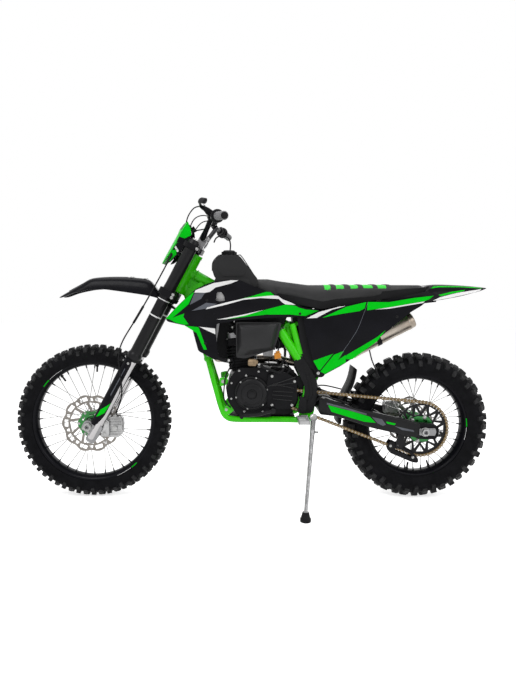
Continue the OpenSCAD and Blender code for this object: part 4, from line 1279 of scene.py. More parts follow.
def build_cables():
    """Cables and hoses of the bars, each a smooth curve from its lever down behind the number plate."""
    clutch = smooth([(-46, -236, 1057), (-62, -206, 1058), (-84, -160, 1044), (-98, -100, 1010), (-96, -44, 970),
                     (-78, -18, 900), (-60, -30, 820), (-44, -40, 740), (-40, -44, 690)], 10)
    throttle = smooth([(-8, 272, 1064), (-40, 250, 1084), (-74, 200, 1078), (-96, 130, 1046), (-94, 60, 1000),
                       (-74, 30, 920), (-56, 32, 820), (-44, 40, 740), (-40, 44, 690)], 10)
    wire = smooth([(10, -214, 1030), (-20, -190, 1010), (-40, -120, 980), (-48, -60, 930), (-46, -34, 860),
                   (-42, -36, 760)], 10)
    piece("bar_cables", fork_frame(joined([tube(clutch, 2.7, (1, 0, 0), 10), tube(throttle, 2.7, (1, 0, 0), 10),
                                           tube(wire, 2.2, (1, 0, 0), 8)])), matt_black(), "fork")
    boot = joined([tube(clutch[:6], [4.5, 5.5, 5.0, 5.0, 4.2, 3.4], (1, 0, 0), 14),
                   tube(throttle[:6], [4.5, 5.5, 5.0, 5.0, 4.2, 3.4], (1, 0, 0), 14)])
    piece("cable_boots", fork_frame(boot), soft_rubber(), "fork")
    hose = smooth([(-634, -78, 386), (-616, -84, 424), (-598, -104, 476), (-590, -136, 532), (-596, -143, 598),
                   (-602, -138, 660), (-588, -124, 724), (-528, -112, 830), (-462, -104, 950), (-406, -92, 1060),
                   (-372, -66, 1140), (-346, -14, 1194), (-316, 60, 1218), (-286, 128, 1234), (-262, 184, 1246)], 8)
    piece("front_brake_line", tube(hose, 3.1, (1, 0, 0), 12), soft_rubber(), "fork", replaces=["front_brake_hose"])
    clip = joined([tube(hose[54:60], 5.2, (1, 0, 0), 12), tube(hose[74:80], 5.2, (1, 0, 0), 12)])
    piece("brake_line_clips", clip, matt_black(), "fork")
    fitting = joined([lathe([(-7, 6), (-6, 8.5), (6, 8.5), (7, 6)], hose[0] + [0, 0, -4], (0, 1, 0), 20),
                      tube(hose[:4], 4.4, (1, 0, 0), 14)])
    piece("brake_line_fitting", fitting, zinc(), "fork")


def build_front_caliper():
    outer = [(-662, 300), (-652, 292), (-612, 292), (-599, 306), (-599, 366), (-610, 382), (-648, 384), (-662, 372)]
    half = slab(outer, -88, -68, 9)
    inner = slab(outer, -52, -38, 9)
    bridge = slab([(-612, 296), (-603, 316), (-600.5, 347), (-603, 366), (-607, 380), (-598, 372), (-595, 347),
                   (-598, 308)], -70, -50, 1)
    ribs = [slab([(-656, z), (-602, z), (-602, z + 3.4), (-656, z + 3.4)], -92, -86, 1.4)
            for z in (300, 307, 314, 321, 346, 353, 360, 367, 374)]
    bracket = slab([(-688, 302), (-660, 298), (-650, 312), (-652, 366), (-664, 376), (-680, 330)], -104, -88, 5)
    piece("front_caliper_body", joined([half, inner, bridge, *ribs, bracket]), alloy_with_painted_light(), "fork",
          replaces=["front_caliper"], bevel=1.8)
    caps = joined([lathe([(-95, 9), (-94, 12), (-86, 12)], (-630, 0, z), (0, 1, 0), 24) for z in (334,)])
    spots = [(-652, -88, 297), (-606, -88, 376), (-672, -104, 316), (-664, -104, 362)]
    piece("front_caliper_bolts", joined([caps, bolts(spots, (0, -1, 0), 4.6, 5)]), zinc(), "fork")
    pads = joined([slab([(-652, 302), (-616, 302), (-616, 372), (-652, 372)], y, y + 4.5, 4) for y in (-67.5, -57)])
    piece("front_brake_pads", pads, brass(), "fork")


FENDER_SECTION = np.array([(0, 1.0), (.22, .995), (.42, .975), (.58, .93), (.72, .83), (.83, .66), (.91, .44),
                           (.965, .2), (1, 0)])


def arch(stations, thick=3.2, share=FENDER_SECTION):
    """A fender: an arched sheet along x. Each station gives x, top, edge height, half width and edge's shift in x."""
    stations = smooth(np.asarray(stations, float), 7)
    wide = np.concatenate([-share[:0:-1, 0], share[:, 0]])
    tall = np.concatenate([share[:0:-1, 1], share[:, 1]])
    x, top, edge, half, shift = stations.T[:, :, None]
    skins = []
    for drop, turn in ((0.0, 1), (thick, -1)):
        y = (half - drop) * wide
        z = edge + (top - edge) * tall - drop * tall
        skins.append(np.stack([x + shift * (1 - tall), y, z], -1)[:, ::turn])
    return loft(np.concatenate(skins, 1))


def build_front_fender():
    stations = [(-888, 909, 903, 34, 0), (-872, 919, 906, 47, 2), (-834, 941, 922, 57, 4), (-790, 968, 934, 60, 6),
                (-752, 990, 941, 61, 8), (-700, 998, 944, 62, 10), (-640, 1001, 938, 62, 10), (-560, 999, 928, 62, 8),
                (-500, 992, 920, 61, 4), (-474, 972, 914, 60, 4), (-448, 938, 906, 58, 2), (-420, 905, 886, 56, 0),
                (-395, 881, 868, 53, 0), (-364, 861, 853, 46, 0)]
    piece("front_fender_shell", arch(stations, 3.4), gloss_black(), "fork", replaces=["front_fender"],
          crease=40)
    spots = [(-572, -26, 999.5), (-572, 26, 999.5), (-512, -26, 993), (-512, 26, 993)]
    piece("front_fender_bolts", bolts(spots, (0, 0, 1), 5, 4), zinc(), "fork")
    ridge = [(x, 0, z) for x, z in ((-850, 934), (-790, 968), (-752, 989), (-700, 997), (-640, 1000), (-590, 1000))]
    rail = joined([tube(smooth(np.array(ridge) + [0, s * 17, -1.5], 6), 3.2, (0, 1, 0), 10) for s in (-1, 1)])
    piece("front_fender_ridges", rail, gloss_black(), "fork", crease=60)


def plate_face(u, v, depth):
    """The number plate's bowed face, in the fork's frame: u across, v up the steering axis."""
    back = 26 * (u / 96) ** 2 + 10 * np.clip((v - 930) / 62, 0, 1) ** 2
    return np.stack([-118 + back + depth, u, v], -1)


def build_number_plate():
    outline = rounded([(-52, 776), (-84, 838), (-96, 900), (-92, 950), (-78, 992), (78, 992), (92, 950), (96, 900),
                       (84, 838), (52, 776)], 12, 4)
    piece("number_plate_shell", fork_frame(plate(outline, plate_face, 4, step=10)), green_plastic(), "fork",
          replaces=["number_plate"], bevel=1.0, crease=50)
    lift = lambda u, v, depth: plate_face(u, v, depth - 0.6)
    field = rounded([(-36, 798), (-54, 846), (-62, 900), (-60, 940), (60, 940), (62, 900), (54, 846), (36, 798)], 12)
    piece("number_plate_field", fork_frame(plate(field, lift, 0.5, step=10)), white_vinyl(), "fork")
    band = rounded([(-77, 948), (-70, 980), (70, 980), (77, 948)], 6)
    slot = [rounded([(-46, 958), (-44, 970), (-8, 970), (-8, 958)], 4), rounded([(8, 958), (8, 970), (44, 970),
                                                                                (46, 958)], 4)]
    piece("number_plate_brow", fork_frame(plate(band, lift, 0.5, slot, step=9)), gloss_black(), "fork")
    build_plate_wings()
    strap = joined([sweep(smooth([(-98, s * 70, z), (-72, s * 84, z), (-52, s * 95, z)], 5),
                          rounded([(-2, -8), (2, -8), (2, 8), (-2, 8)], 1.5, 2), (0, 0, 1))
                    for s in (-1, 1) for z in (902,)])
    piece("number_plate_straps", fork_frame(strap), soft_rubber(), "fork")


def wing_face(u, v, depth):
    """The left wing of the number plate: u runs back from the plate's edge, v up it."""
    half = np.interp(v, [776, 838, 900, 950, 992], [56, 84, 96, 93, 80])
    return np.stack([-92 + u, -half + 0.06 * u + depth, v], -1)


def build_plate_wings():
    outline = rounded([(-1, 786), (12, 800), (30, 846), (40, 900), (44, 944), (30, 968), (2, 990), (-1, 940)], 5, 3)
    piece("number_plate_wings", fork_frame(both(plate(outline, wing_face, 3, step=8))), gloss_black(), "fork",
          bevel=0.8, crease=50)
    raised = lifted(wing_face, 1.6)
    greens = [[(0, 792), (10, 806), (22, 842), (14, 862), (0, 850)],
              [(0, 916), (24, 920), (42, 946), (28, 967), (4, 987), (0, 960)]]
    films = joined([plate(np.array(each, float), raised, 0.6, step=8) for each in greens])
    piece("number_plate_wing_films", fork_frame(both(films)), green_plastic(), "fork", crease=60)
    sliver = plate(np.array([(2, 866), (22, 852), (26, 860), (4, 874)], float), raised, 0.6, step=8)
    piece("number_plate_wing_slivers", fork_frame(both(sliver)), white_vinyl(), "fork", crease=60)
    horn = lathe([(-52, 8), (-50, 26), (-40, 29), (-30, 27), (-24, 12)], (-70, 0, 872), (0, 1, 0), 36)
    bracket = slab([(-76, 898), (-40, 905), (-40, 912), (-78, 906)], -52, 52, 2)
    loom = [tube(smooth([(-60, s * y, 985), (-74, s * y * 0.8, 950), (-66, s * 30, 900), (-56, s * 24, 820)], 8), 4.5,
                 (1, 0, 0), 10) for s, y in ((-1, 60), (-1, 36), (1, 20), (1, 64))]
    piece("front_electrics", fork_frame(joined([horn, bracket, *loom])), matt_black(), "fork",
          bevel=0.8, crease=40)
    ring = lathe([(-53, 15), (-53, 19), (-50.5, 20), (-50.5, 15)], (-70, 0, 872), (0, 1, 0), 36)
    piece("horn_ring", fork_frame(ring), zinc(), "fork")


def build_front_end():
    build_fork_legs()
    build_guards()
    build_clamps()
    build_bars()
    build_cables()
    build_front_caliper()
    build_front_fender()
    build_number_plate()


# ---------------------------------------------------------------- frame and engine



def weld(path_point, run, radius):
    """A weld bead: a thin ring round a tube whose wire swells and thins in small steps."""
    t = np.linspace(0, TURN, 49)[:-1]
    first = unit(np.cross(run, (0, 1, 0.01)))
    second = np.cross(unit(run), first)
    ring = np.asarray(path_point) + radius * (np.cos(t)[:, None] * first + np.sin(t)[:, None] * second)
    ring = np.concatenate([ring, ring[:1]])
    return tube(ring, 2.3 + 0.5 * np.cos(np.arange(49) * 2.6), unit(run), 8)


def build_frame():
    lift = np.array([math.sin(RAKE), 0, math.cos(RAKE)])
    split, post = np.array([-226, 0, 640.0]), np.array([130, 0, 790.0])
    head_tube = fork_frame(lathe([(694, 20), (694, 31), (706, 31), (709, 29), (869, 29), (872, 31), (884, 31),
                                  (884, 20)], (0, 0, 0), (0, 0, 1), 56))
    spine = smooth([STEER_FOOT + 800 * lift, (-200, 0, 965), (-40, 0, 878), post], 8)
    down = smooth([STEER_FOOT + 752 * lift, (-280, 0, 800), split], 8)
    gusset = slab([(-318, 1018), (-352, 962), (-306, 868), (-282, 850), (-250, 880), (-210, 950), (-250, 985)], -8, 8,
                  10, [circle(20, 24, (-276, 930))])
    side_gusset = both(slab([(-330, 948), (-300, 872), (-272, 880), (-240, 962), (-262, 986)], -27, -22, 9))
    tubes = [tube(spine, 24), tube(down, 19), rod(split - [0, 44, 0], split + [0, 44, 0], 16),
             rod(post - [0, 62, 0], post + [0, 62, 0], 18), rod((690, -56, 904), (690, 56, 904), 10),
             rod((215, -97, 470), (215, 97, 470), 9), head_tube, gusset, side_gusset]
    cradle = tube(smooth([(-226, -38, 640), (-184, -72, 500), (-160, -72, 420), (-138, -72, 384), (-96, -72, 373),
                          (30, -72, 373), (150, -72, 373), (190, -85, 375)], 7), 13, (0, 1, 0), 20)
    hips = tube(smooth([(180, -80, 652), (146, -72, 700), (130, -50, 790)], 8), 15, (0, 1, 0), 20)
    brace = tube(np.array([(178, -86, 650), (176, -86, 654), (100, -84, 766), (96, -82, 772)]), 21, (0, 1, 0), 28)
    upper_brace = tube(np.array([(184, -88, 672), (182, -88, 680), (149, -88, 796), (147, -86, 802)]), 13.5,
                       (0, 1, 0), 24)
    rail = tube(smooth([(130, -50, 790), (300, -60, 838), (690, -50, 904)], 10), 10)
    stay = rod((196, -80, 655), (560, -56, 872), 10)
    pivot_plate = slab([(176, 366), (232, 366), (252, 420), (256, 545), (190, 664), (162, 642), (206, 540),
                        (188, 420)], -97, -86, 8)
    tab = slab([(-170, 522), (-140, 530), (-132, 548), (-142, 566), (-172, 560)], -84, -78, 6)
    low_tab = slab([(-168, 398), (-128, 396), (-104, 416), (-110, 440), (-130, 446)], -82, -74, 6)
    pairs = [both(part) for part in (cradle, hips, brace, upper_brace, rail, stay)]
    piece("frame_tubes", joined([*tubes, *pairs]), frame_paint(), replaces=["main_frame"], crease=45)
    piece("frame_plates", joined([both(pivot_plate), both(tab), both(low_tab)]), frame_paint(), bevel=1.4)
    beads = [weld(spine[3], spine[4] - spine[3], 25), weld(down[3], down[4] - down[3], 20),
             weld(split + [0, 30, 0], (0, 1, 0), 17), weld(split - [0, 30, 0], (0, 1, 0), 17),
             weld(post + [0, 30, 0], (0, 1, 0), 19), weld(post - [0, 30, 0], (0, 1, 0), 19)]
    piece("frame_welds", joined(beads), frame_paint(), crease=80)
    pivot = np.array([240.0, -152, 402])
    axis = unit([-0.147, -0.910, 0.388])
    bracket = joined([rod((228, -90, 380), pivot - 30 * axis, 10), rod(pivot - 38 * axis, pivot - 17 * axis, 14),
                      rod(pivot - 34 * axis, pivot + 20 * axis, 5.9)])
    piece("stand_bracket", bracket, frame_paint(), bevel=0.8)
    spots = [(-156, -84, 545), (-140, -82, 418), (215, -97, 470), (196, -97, 384), (222, -97, 560), (186, -97, 642)]
    heads = [bolts([spot], (0, -1, 0), size, 6) for spot, size in zip(spots, (6, 5, 10, 5, 5, 4.5))]
    piece("frame_bolts", joined([both(head) for head in heads]), zinc())
    guard = slab([(152, 638), (188, 668), (228, 612), (260, 556), (261, 470), (242, 412), (196, 408), (192, 440),
                  (206, 500), (204, 534)], -104.5, -98, 12)
    piece("frame_guard_plates", both(guard), matt_black(), replaces=["frame_guards"], bevel=1.8)
    grooves = [tube(smooth([(196 + 7 * k, -105, 430 + 9 * k), (222 + 7 * k, -105, 500), (200 + 8 * k, -105, 590)], 6),
                    1.3, (0, 1, 0), 8) for k in (1, 3)]
    piece("frame_guard_ribs", joined([both(part) for part in grooves]), matt_black())


def case_bolts(spots, y=-93.0, size=4.4):
    """Bolt heads on the left case, all at one distance out."""
    return bolts([(x, y, z) for x, z in spots], (0, -1, 0), size, 5)


def build_engine():
    case = slab([(-140, 506), (-132, 456), (-92, 398), (-20, 389), (60, 389), (60, 606), (20, 612), (-92, 606),
                 (-128, 560)], -92, 92, 14)
    gearbox = slab([(50, 389), (150, 392), (184, 452), (180, 560), (158, 590), (120, 606), (50, 608)], -58, 92, 14)
    seam = slab([(-146, 508), (-137, 452), (-95, 398), (60, 394), (155, 398), (191, 450), (186, 564), (122, 613),
                 (56, 614), (-96, 613)], -4, 4, 12)
    piece("engine_cases", joined([case, gearbox, seam]), cast_black(), replaces=["engine"],
          bevel=3.0)
    tip = np.radians(-8.0)
    along = np.array([math.sin(tip), 0, math.cos(tip)])
    back = np.array([math.cos(tip), 0, -math.sin(tip)])
    foot = np.array([-62.0, 0, 600])

    def barrel_plane(height):
        """A plane square to the leaning barrel, at a height along it."""
        return lambda u, v, depth: foot + u[:, None] * back + v[:, None] * [0, 1, 0] + (height - depth) * along

    block = [(-58, -52), (54, -52), (54, 52), (-58, 52)]
    fin = rounded([(-68, -62), (64, -62), (64, 62), (-68, 62)], 16, 4)
    core = plate(rounded(block, 20, 4), barrel_plane(104.0), 112)
    fins = [plate(fin, barrel_plane(6.0 + 13 * k), 3.6) for k in range(8)]
    head = plate(rounded([(-66, -60), (60, -60), (60, 60), (-66, 60)], 14, 4), barrel_plane(140.0), 32)
    cover = plate(rounded([(-58, -54), (48, -54), (48, 54), (-58, 54)], 18, 4), barrel_plane(166.0), 25)
    piece("engine_barrel", joined([core, *fins, head]), cast_black(), bevel=1.0)
    piece("engine_head_cover", cover, cast_alloy(), bevel=3.0)
    spots = np.array([foot + u * back + [0, v, 0] + 166 * along for u in (-50, 40) for v in (-45, 45)])
    studs = np.array([foot + u * back + [0, v, 0] + 140 * along for u in (-60, 54) for v in (-56, 56)])
    piece("engine_head_bolts", joined([bolts(spots, along, 5, 5), bolts(studs, along, 4.6, 5)]), zinc())
    disc = lathe([(-92, 40), (-92, 68), (-104, 68), (-113, 65), (-117, 58), (-118, 48), (-121, 46), (-123.5, 40),
                  (-124, 22), (-121, 19), (-121, 8)], (-28, 0, 496), (0, 1, 0), 72)
    collar = lathe([(-92, 60), (-92, 76), (-98, 77), (-102, 74), (-102, 60)], (-28, 0, 496), (0, 1, 0), 72)
    piece("engine_left_cover", joined([disc, collar]), black_paint(), replaces=["engine_covers"],
          crease=28)
    plug = lathe([(-120, 12), (-126, 14), (-127, 10)], (-28, 0, 496), (0, 1, 0), 6)
    timing = lathe([(-118, 7), (-121, 8), (-122, 5)], (-28, 0, 538), (0, 1, 0), 6)
    right = lathe([(92, 40), (92, 74), (104, 74), (112, 70), (116, 60), (117, 40), (114, 36), (114, 10)],
                  (-22, 0, 496), (0, 1, 0), 72)
    clutch = slab([(-92, 428), (118, 422), (142, 470), (114, 544), (4, 566), (-84, 548)], 92, 107, 22)
    piece("engine_right_cover", joined([right, clutch]), black_paint(), crease=28,
          bevel=2.0)
    around = turned_y(np.arange(0, 360, 60) + 15.0) @ np.array([70.5, 0, 0]) + [-28, 0, 496]
    ring = [(x, z) for x, _, z in around]
    left = [(-85, 595), (1, 592), (-54, 574), (51, 550), (52, 470), (22, 414), (-60, 414), (-118, 470), (-118, 540),
            (40, 598)]
    piece("engine_plugs", joined([plug, timing]), black_paint())
    piece("engine_case_bolts", joined([case_bolts(left, size=3.4), case_bolts(ring, -101, 3.0),
                                       bolts([(x, 107, z) for x, z in ((-70, 440), (20, 436), (104, 440), (124, 482),
                                                                       (98, 532), (10, 552), (-70, 534))],
                                             (0, 1, 0), 4.2, 5)]), zinc())
    build_sprocket_cover()
    build_engine_extras()


def build_sprocket_cover():
    outline = rounded([(42, 436), (96, 428), (150, 430), (174, 468), (170, 560), (122, 592), (45, 584), (34, 520)], 12)
    shell = slab(outline, -105, -93)
    piece("sprocket_cover_shell", shell, cast_black(), replaces=["sprocket_cover"], bevel=3.0)
    left = np.array([(40, 528), (58, 532), (66, 540), (66, 508), (62, 492), (66, 474)], float)
    right = np.array([(164, 572), (160, 546), (158, 522), (155, 504), (152, 486), (150, 467)], float)
    ribs = [sweep(np.stack([a, (a * 2 + b) / 3, (a + 2 * b) / 3, b])[:, [0, 0, 1]] * [1, 0, 1] + [0, -107.0, 0],
                  rounded([(-2.6, -2.6), (2.6, -2.6), (1.4, 2.6), (-1.4, 2.6)], 1, 2), (0, 1, 0))
            for a, b in zip(left, right)]
    piece("sprocket_cover_ribs", joined(ribs), tank_plastic(), "chassis", crease=50)
    piece("sprocket_cover_bolts", case_bolts([(60, 574), (150, 446), (62, 446), (160, 552)], -105), zinc())


def build_engine_extras():
    """Carburettor, inlet, plug and lead, coolant hoses, coil, starter and the small wiring on the left."""
    body = joined([lathe([(0, 20), (0, 27), (10, 27), (12, 24), (52, 24), (54, 29), (64, 29), (64, 22)], (12, 0, 700),
                         (1, 0, 0.12), 36),
                   lathe([(0, 18), (0, 22), (34, 22), (40, 19), (40, 8)], (44, 0, 716), (0.1, 0, 1), 32),
                   slab([(24, 652), (66, 650), (70, 690), (22, 690)], -22, 22, 6)])
    piece("carburettor_body", body, cast_alloy(), bevel=1.2)
    boot = tube(smooth([(76, 0, 708), (100, 0, 714), (126, 0, 722)], 6), [28, 29, 27, 29, 27, 29, 27, 30, 31, 31, 31,
                                                                          31, 31][:13], (0, 1, 0), 28)
    inlet = tube(smooth([(-2, 0, 690), (6, 0, 694), (14, 0, 699)], 5), 23, (0, 1, 0), 28)
    piece("inlet_boots", joined([boot, inlet]), soft_rubber(), crease=60)
    cap = joined([tube(smooth([(-96, -38, 742), (-104, -52, 762), (-108, -64, 782)], 5), 9, (0, 1, 0), 18),
                  tube(smooth([(-108, -64, 782), (-100, -66, 812), (-60, -52, 836), (-10, -34, 842)], 8), 3.4,
                       (0, 1, 0), 10)])
    piece("spark_plug_lead", cap, soft_rubber())
    coil = joined([slab([(-22, 826), (26, 826), (26, 856), (-22, 856)], -36, -8, 6)])
    piece("ignition_coil", coil, matt_black(), bevel=1.4)
    hose_a = smooth([(-5, -96, 631), (22, -104, 612), (47, -108, 604), (70, -108, 596), (92, -104, 590),
                     (108, -100, 604), (106, -94, 645)], 8)
    hose_b = smooth([(-210, -110, 690), (-190, -96, 660), (-150, -80, 640), (-118, -66, 640)], 8)
    hose_c = smooth([(-196, -100, 838), (-160, -76, 826), (-126, -52, 800), (-104, -40, 770)], 8)
    hose_d = smooth([(-196, 100, 838), (-160, 76, 826), (-126, 52, 800), (-104, 40, 770)], 8)
    piece("engine_hoses", joined([tube(hose_a, 6.0, (0, 1, 0), 16), tube(hose_b, 10.5, (0, 1, 0), 20),
                                  tube(hose_c, 10.5, (0, 1, 0), 20), tube(hose_d, 10.5, (0, 1, 0), 20)]),
          soft_rubber(), crease=60)
    clamp = [tube(line[k:k + 3], radius + 1.4, (0, 1, 0), 20) for line, radius, k in
             ((hose_a, 6, 2), (hose_a, 6, 42), (hose_b, 10.5, 3), (hose_b, 10.5, 18), (hose_c, 10.5, 3),
              (hose_c, 10.5, 18))]
    piece("hose_clips", joined(clamp), zinc())
    cylinder = joined([lathe([(0, 14), (2, 17), (10, 19), (26, 19), (30, 14), (44, 13), (46, 8)], (-48, -96, 634),
                             (1, 0, 0.02), 28),
                       slab([(-46, 621), (-12, 619), (-10, 648), (-44, 650)], -112, -92, 5)])
    piece("brass_union", cylinder, brass(), bevel=1.4)
    plug = joined([slab([(70, 651), (98, 655), (96, 678), (68, 676)], -110, -92, 3),
                   slab([(74, 678), (92, 680), (92, 686), (74, 684)], -107, -95, 2)])
    piece("wiring_plug", plug, amber_plastic(), "chassis", bevel=1.0)
    loom = joined([tube(smooth(route, 8), radius, (0, 1, 0), 10) for route, radius in (
        ([(84, -100, 686), (90, -96, 720), (70, -88, 752), (20, -78, 800), (-20, -50, 840)], 3.4),
        ([(80, -100, 652), (84, -98, 622), (64, -96, 602), (24, -98, 606)], 2.6),
        ([(96, -98, 660), (118, -104, 640), (136, -104, 606), (120, -98, 580)], 3.0),
        ([(60, -98, 660), (44, -104, 636), (70, -106, 616), (104, -104, 624), (128, -98, 604)], 2.2),
        ([(-110, -70, 630), (-132, -86, 596), (-146, -92, 560), (-150, -94, 470), (-120, -94, 430)], 3.0))])
    piece("wiring_loom", loom, soft_rubber())
    ties = joined([rod((96, -98, z), (96, -98, z + 4), 5.6) for z in (652, 668)])
    piece("loom_ties", ties, clear_white(), "chassis")
    # Flat matt black sheets between the engine, frame and air box, and a plate under the engine: painted shade that
    # fills gaps where the background would show through.
    back = [slab([(-196, 640), (-118, 640), (-112, 700), (-112, 842), (-206, 842)], -24, 24, 8),
            slab([(196, 560), (300, 560), (330, 640), (330, 858), (150, 838), (176, 700)], -40, 40, 14),
            slab([(128, 590), (206, 560), (206, 520), (186, 500), (160, 600)], -70, -62, 8),
            slab([(-110, 790), (110, 800), (140, 862), (-110, 840)], -56, 56, 6),
            both(slab([(188, 636), (264, 590), (264, 866), (166, 846), (180, 740)], -95, -91, 8)),
            plate(rounded([(-128, -66), (170, -66), (170, 66), (-128, 66)], 14), level_plane(386.0), 5)]
    piece("painted_shade_sheets", joined(back), matt_black(), bevel=2.5)
    box = slab([(176, 414), (208, 410), (214, 440), (212, 480), (184, 488)], -116, -106, 7)
    piece("starter_cover", box, matt_black(), bevel=1.6)
    drain = lathe([(0, 7), (4, 8), (22, 8), (26, 12), (30, 12), (30, 6)], (3, -60, 390), (-0.72, 0, 0.7), 6)
    piece("engine_drain_plug", drain, zinc())


def build_exhaust():
    run = unit(np.array([742, 85, 826.0]) - [412, 85, 650])
    start = np.array([412, 85, 650.0])
    path = smooth([(-138, 26, 658), (-180, 42, 642), (-186, 66, 627), (-144, 90, 624), (20, 94, 626), (90, 74, 628),
                   (176, 54, 612), (290, 62, 606), start - 59 * run, start - 30 * run, start], 9)
    header = tube(path, 17, (0, 0, 1), 28)
    rings = joined([tube(path[k:k + 3], 19.5, (0, 0, 1), 28) for k in (4, 46, 68)])
    flange = lathe([(0, 18), (0, 26), (6, 26), (8, 20)], (-128, 23, 660), (-0.95, 0.3, -0.2), 6)
    piece("exhaust_pipe", joined([header, rings, flange]), exhaust_steel(), replaces=["exhaust_header"],
          crease=60)
    shield = sweep(path[30:48] + [0, 16, 4], rounded([(-14, -1.2), (14, -1.2), (14, 1.2), (-14, 1.2)], 1, 2),
                   (0, 0, 1))
    piece("exhaust_heat_shield", shield, black_paint(), bevel=0.6)
    can = lathe([(0, 18), (0, 22), (14, 25), (28, 27), (34, 36), (40, 41), (44, 42), (52, 42), (54, 41), (338, 41),
                 (340, 42.4), (352, 42.4), (354, 41), (370, 40.4), (373, 38), (373, 33), (366, 29), (352, 24),
                 (350, 16)],
                start, run, 64)
    piece("muffler_can", can, exhaust_steel(), replaces=["muffler"], crease=35)
    tip = lathe([(330, 17), (330, 22), (375, 22), (376, 20.5), (375, 19), (330, 17)], start, run, 40)
    band = lathe([(168, 41), (168, 43.2), (190, 43.2), (190, 41)], start, run, 64)
    piece("muffler_tip", joined([tip, band]), matt_black(), crease=35)
    first = unit(np.cross(run, (0, 1, 0)))
    second = np.cross(run, first)
    t = np.radians(np.arange(0, 360, 45.0))[:, None]
    rivets = np.concatenate([start + along * run + 42 * (np.cos(t) * first + np.sin(t) * second)
                             for along in (48, 346)])
    out = np.concatenate([np.cos(t) * first + np.sin(t) * second] * 2)
    dome = lathe([(0, 3.2), (1.0, 3.0), (1.8, 1.6)], (0, 0, 0), (0, 0, 1), 8)
    piece("muffler_rivets", repeated(dome, aimed_all(out), rivets - out * 0.4), zinc())
    hanger = joined([slab([(560, 796), (590, 786), (612, 826), (600, 868), (580, 866)], 56, 61, 8)])
    piece("muffler_hanger", hanger, frame_paint(), bevel=1.0)


def build_radiators():
    """Radiators: a thin core between rounded tanks, its face ruled with fine upright fins and level tubes."""
    tip = math.radians(8)
    spin = np.array([[math.cos(tip), 0, math.sin(tip)], [0, 1, 0], [-math.sin(tip), 0, math.cos(tip)]])
    base = np.array([-228.0, -142, 664])

    def sunk(shape):
        """The radiator's own frame turned by its lean and put at its foot."""
        return shape[0] @ spin.T + base, shape[1]

    def brick(x0, x1, y0, y1, z0, z1):
        """A box between three pairs of distances."""
        corners = [(x0, y0), (x1, y0), (x1, y1), (x0, y1)]
        return plate(corners, level_plane(z1), z1 - z0)

    tanks = [plate(rounded([(0, 0), (34, 0), (34, 88), (0, 88)], 9, 3), level_plane(z1), z1 - z0)
             for z0, z1 in ((0, 24), (150, 176))]
    sides = [brick(1, 33, 0, 3, 20, 156), brick(1, 33, 85, 88, 20, 156)]
    core = brick(5, 29, 3, 85, 22, 152)
    tubes = [brick(3, 31, 3, 85, z, z + 1.6) for z in np.arange(28, 150, 8.0)]
    fins = [brick(3.6, 30.4, y, y + 0.5, 24, 150) for y in np.arange(5, 84, 2.6)]
    cap = lathe([(176, 12), (176, 17), (182, 17), (184, 15), (188, 14), (188, 6)], (17, 60, 0), (0, 0, 1), 10)
    necks = [rod((34, 30, 166), (46, 32, 170), 10), rod((34, 30, 12), (46, 32, 10), 10)]
    piece("radiator_tanks", joined([both(sunk(part)) for part in (*tanks, *sides, *necks)]), cast_alloy(),
          replaces=["radiators"], bevel=1.4)
    piece("radiator_cores", both(sunk(core)), matt_black())
    piece("radiator_fins", joined([both(sunk(part)) for part in (*tubes, *fins)]), brushed_steel(), "chassis")
    piece("radiator_cap", mirrored(sunk(cap)), zinc())
    slats = [sunk(sweep(np.stack([(-8, y, z) for y in (4, 40, 84)]), rounded([(-1.2, -6), (1.2, -6), (5, 6), (2.6, 6)],
                                                                              0.8, 2), (0, 0, 1)))
             for z in np.arange(20, 165, 15.0)]
    posts = [sunk(brick(-13, -3, y, y + 4, 8, 170)) for y in (0, 84)]
    piece("radiator_louvres", joined([both(part) for part in (*slats, *posts)]), matt_black(), bevel=0.6)


# ---------------------------------------------------------------- tank, seat and bodywork


def build_tank():
    outline = [(-200, 1003), (-212, 1040), (-209, 1070), (-188, 1098), (-170, 1105), (-104, 1106), (-88, 1100),
               (-22, 1018), (-6, 998), (-12, 966), (-120, 960)]
    top = slab(rounded(outline, 12, 4), -61, 61)
    lobe = slab([(-198, 1003), (-188, 880), (-60, 850), (40, 862), (60, 890), (-34, 950), (-46, 1000)], -110, -34, 14)
    piece("fuel_tank_shell", joined([top, both(lobe)]), tank_plastic(), replaces=["fuel_tank"],
          bevel=9.0, crease=30)
    panel = slab(rounded([(-186, 1034), (-182, 1078), (-160, 1092), (-106, 1090), (-62, 1034), (-70, 1014),
                          (-160, 1010)], 9, 4), -64.5, -59)
    piece("fuel_tank_panels", both(panel), tank_plastic(), bevel=2.2)
    seam = tube(np.concatenate([smooth([(-214, 0, 1036), (-212, 0, 1074), (-190, 0, 1103), (-168, 0, 1109.5),
                                        (-100, 0, 1109.5), (-80, 0, 1102), (-26, 0, 1024)], 8)]), 2.0, (0, 1, 0), 10)
    piece("fuel_tank_seam", seam, matt_black())
    cap = lathe([(1102, 33), (1108, 34), (1110, 31), (1122, 31), (1126, 27), (1129, 24), (1130, 10)], (-138, 0, 0),
                (0, 0, 1), 48)
    turns = TURN * np.arange(8) / 8
    lug = plate(rounded([(27, -5), (35, -4), (35, 4), (27, 5)], 1.5, 2), level_plane(1123), 13)
    rotation = np.stack([np.cos(turns), -np.sin(turns), 0 * turns, np.sin(turns), np.cos(turns), 0 * turns,
                         0 * turns, 0 * turns, 1 + 0 * turns], -1).reshape(-1, 3, 3)
    piece("tank_cap_body", joined([cap, repeated(lug, rotation, np.broadcast_to([-138.0, 0, 0], (8, 3)))]),
          matt_black(), replaces=["tank_cap"], bevel=0.8)
    hose = smooth([(-134, 0, 1128.5), (-133, 0, 1158), (-142, 0, 1184), (-168, 0, 1196), (-196, 0, 1186),
                   (-208, 0, 1164)], 10)
    piece("breather_tube", tube(hose, 3.1, (0, 1, 0), 12), soft_rubber(), replaces=["breather_hose"])


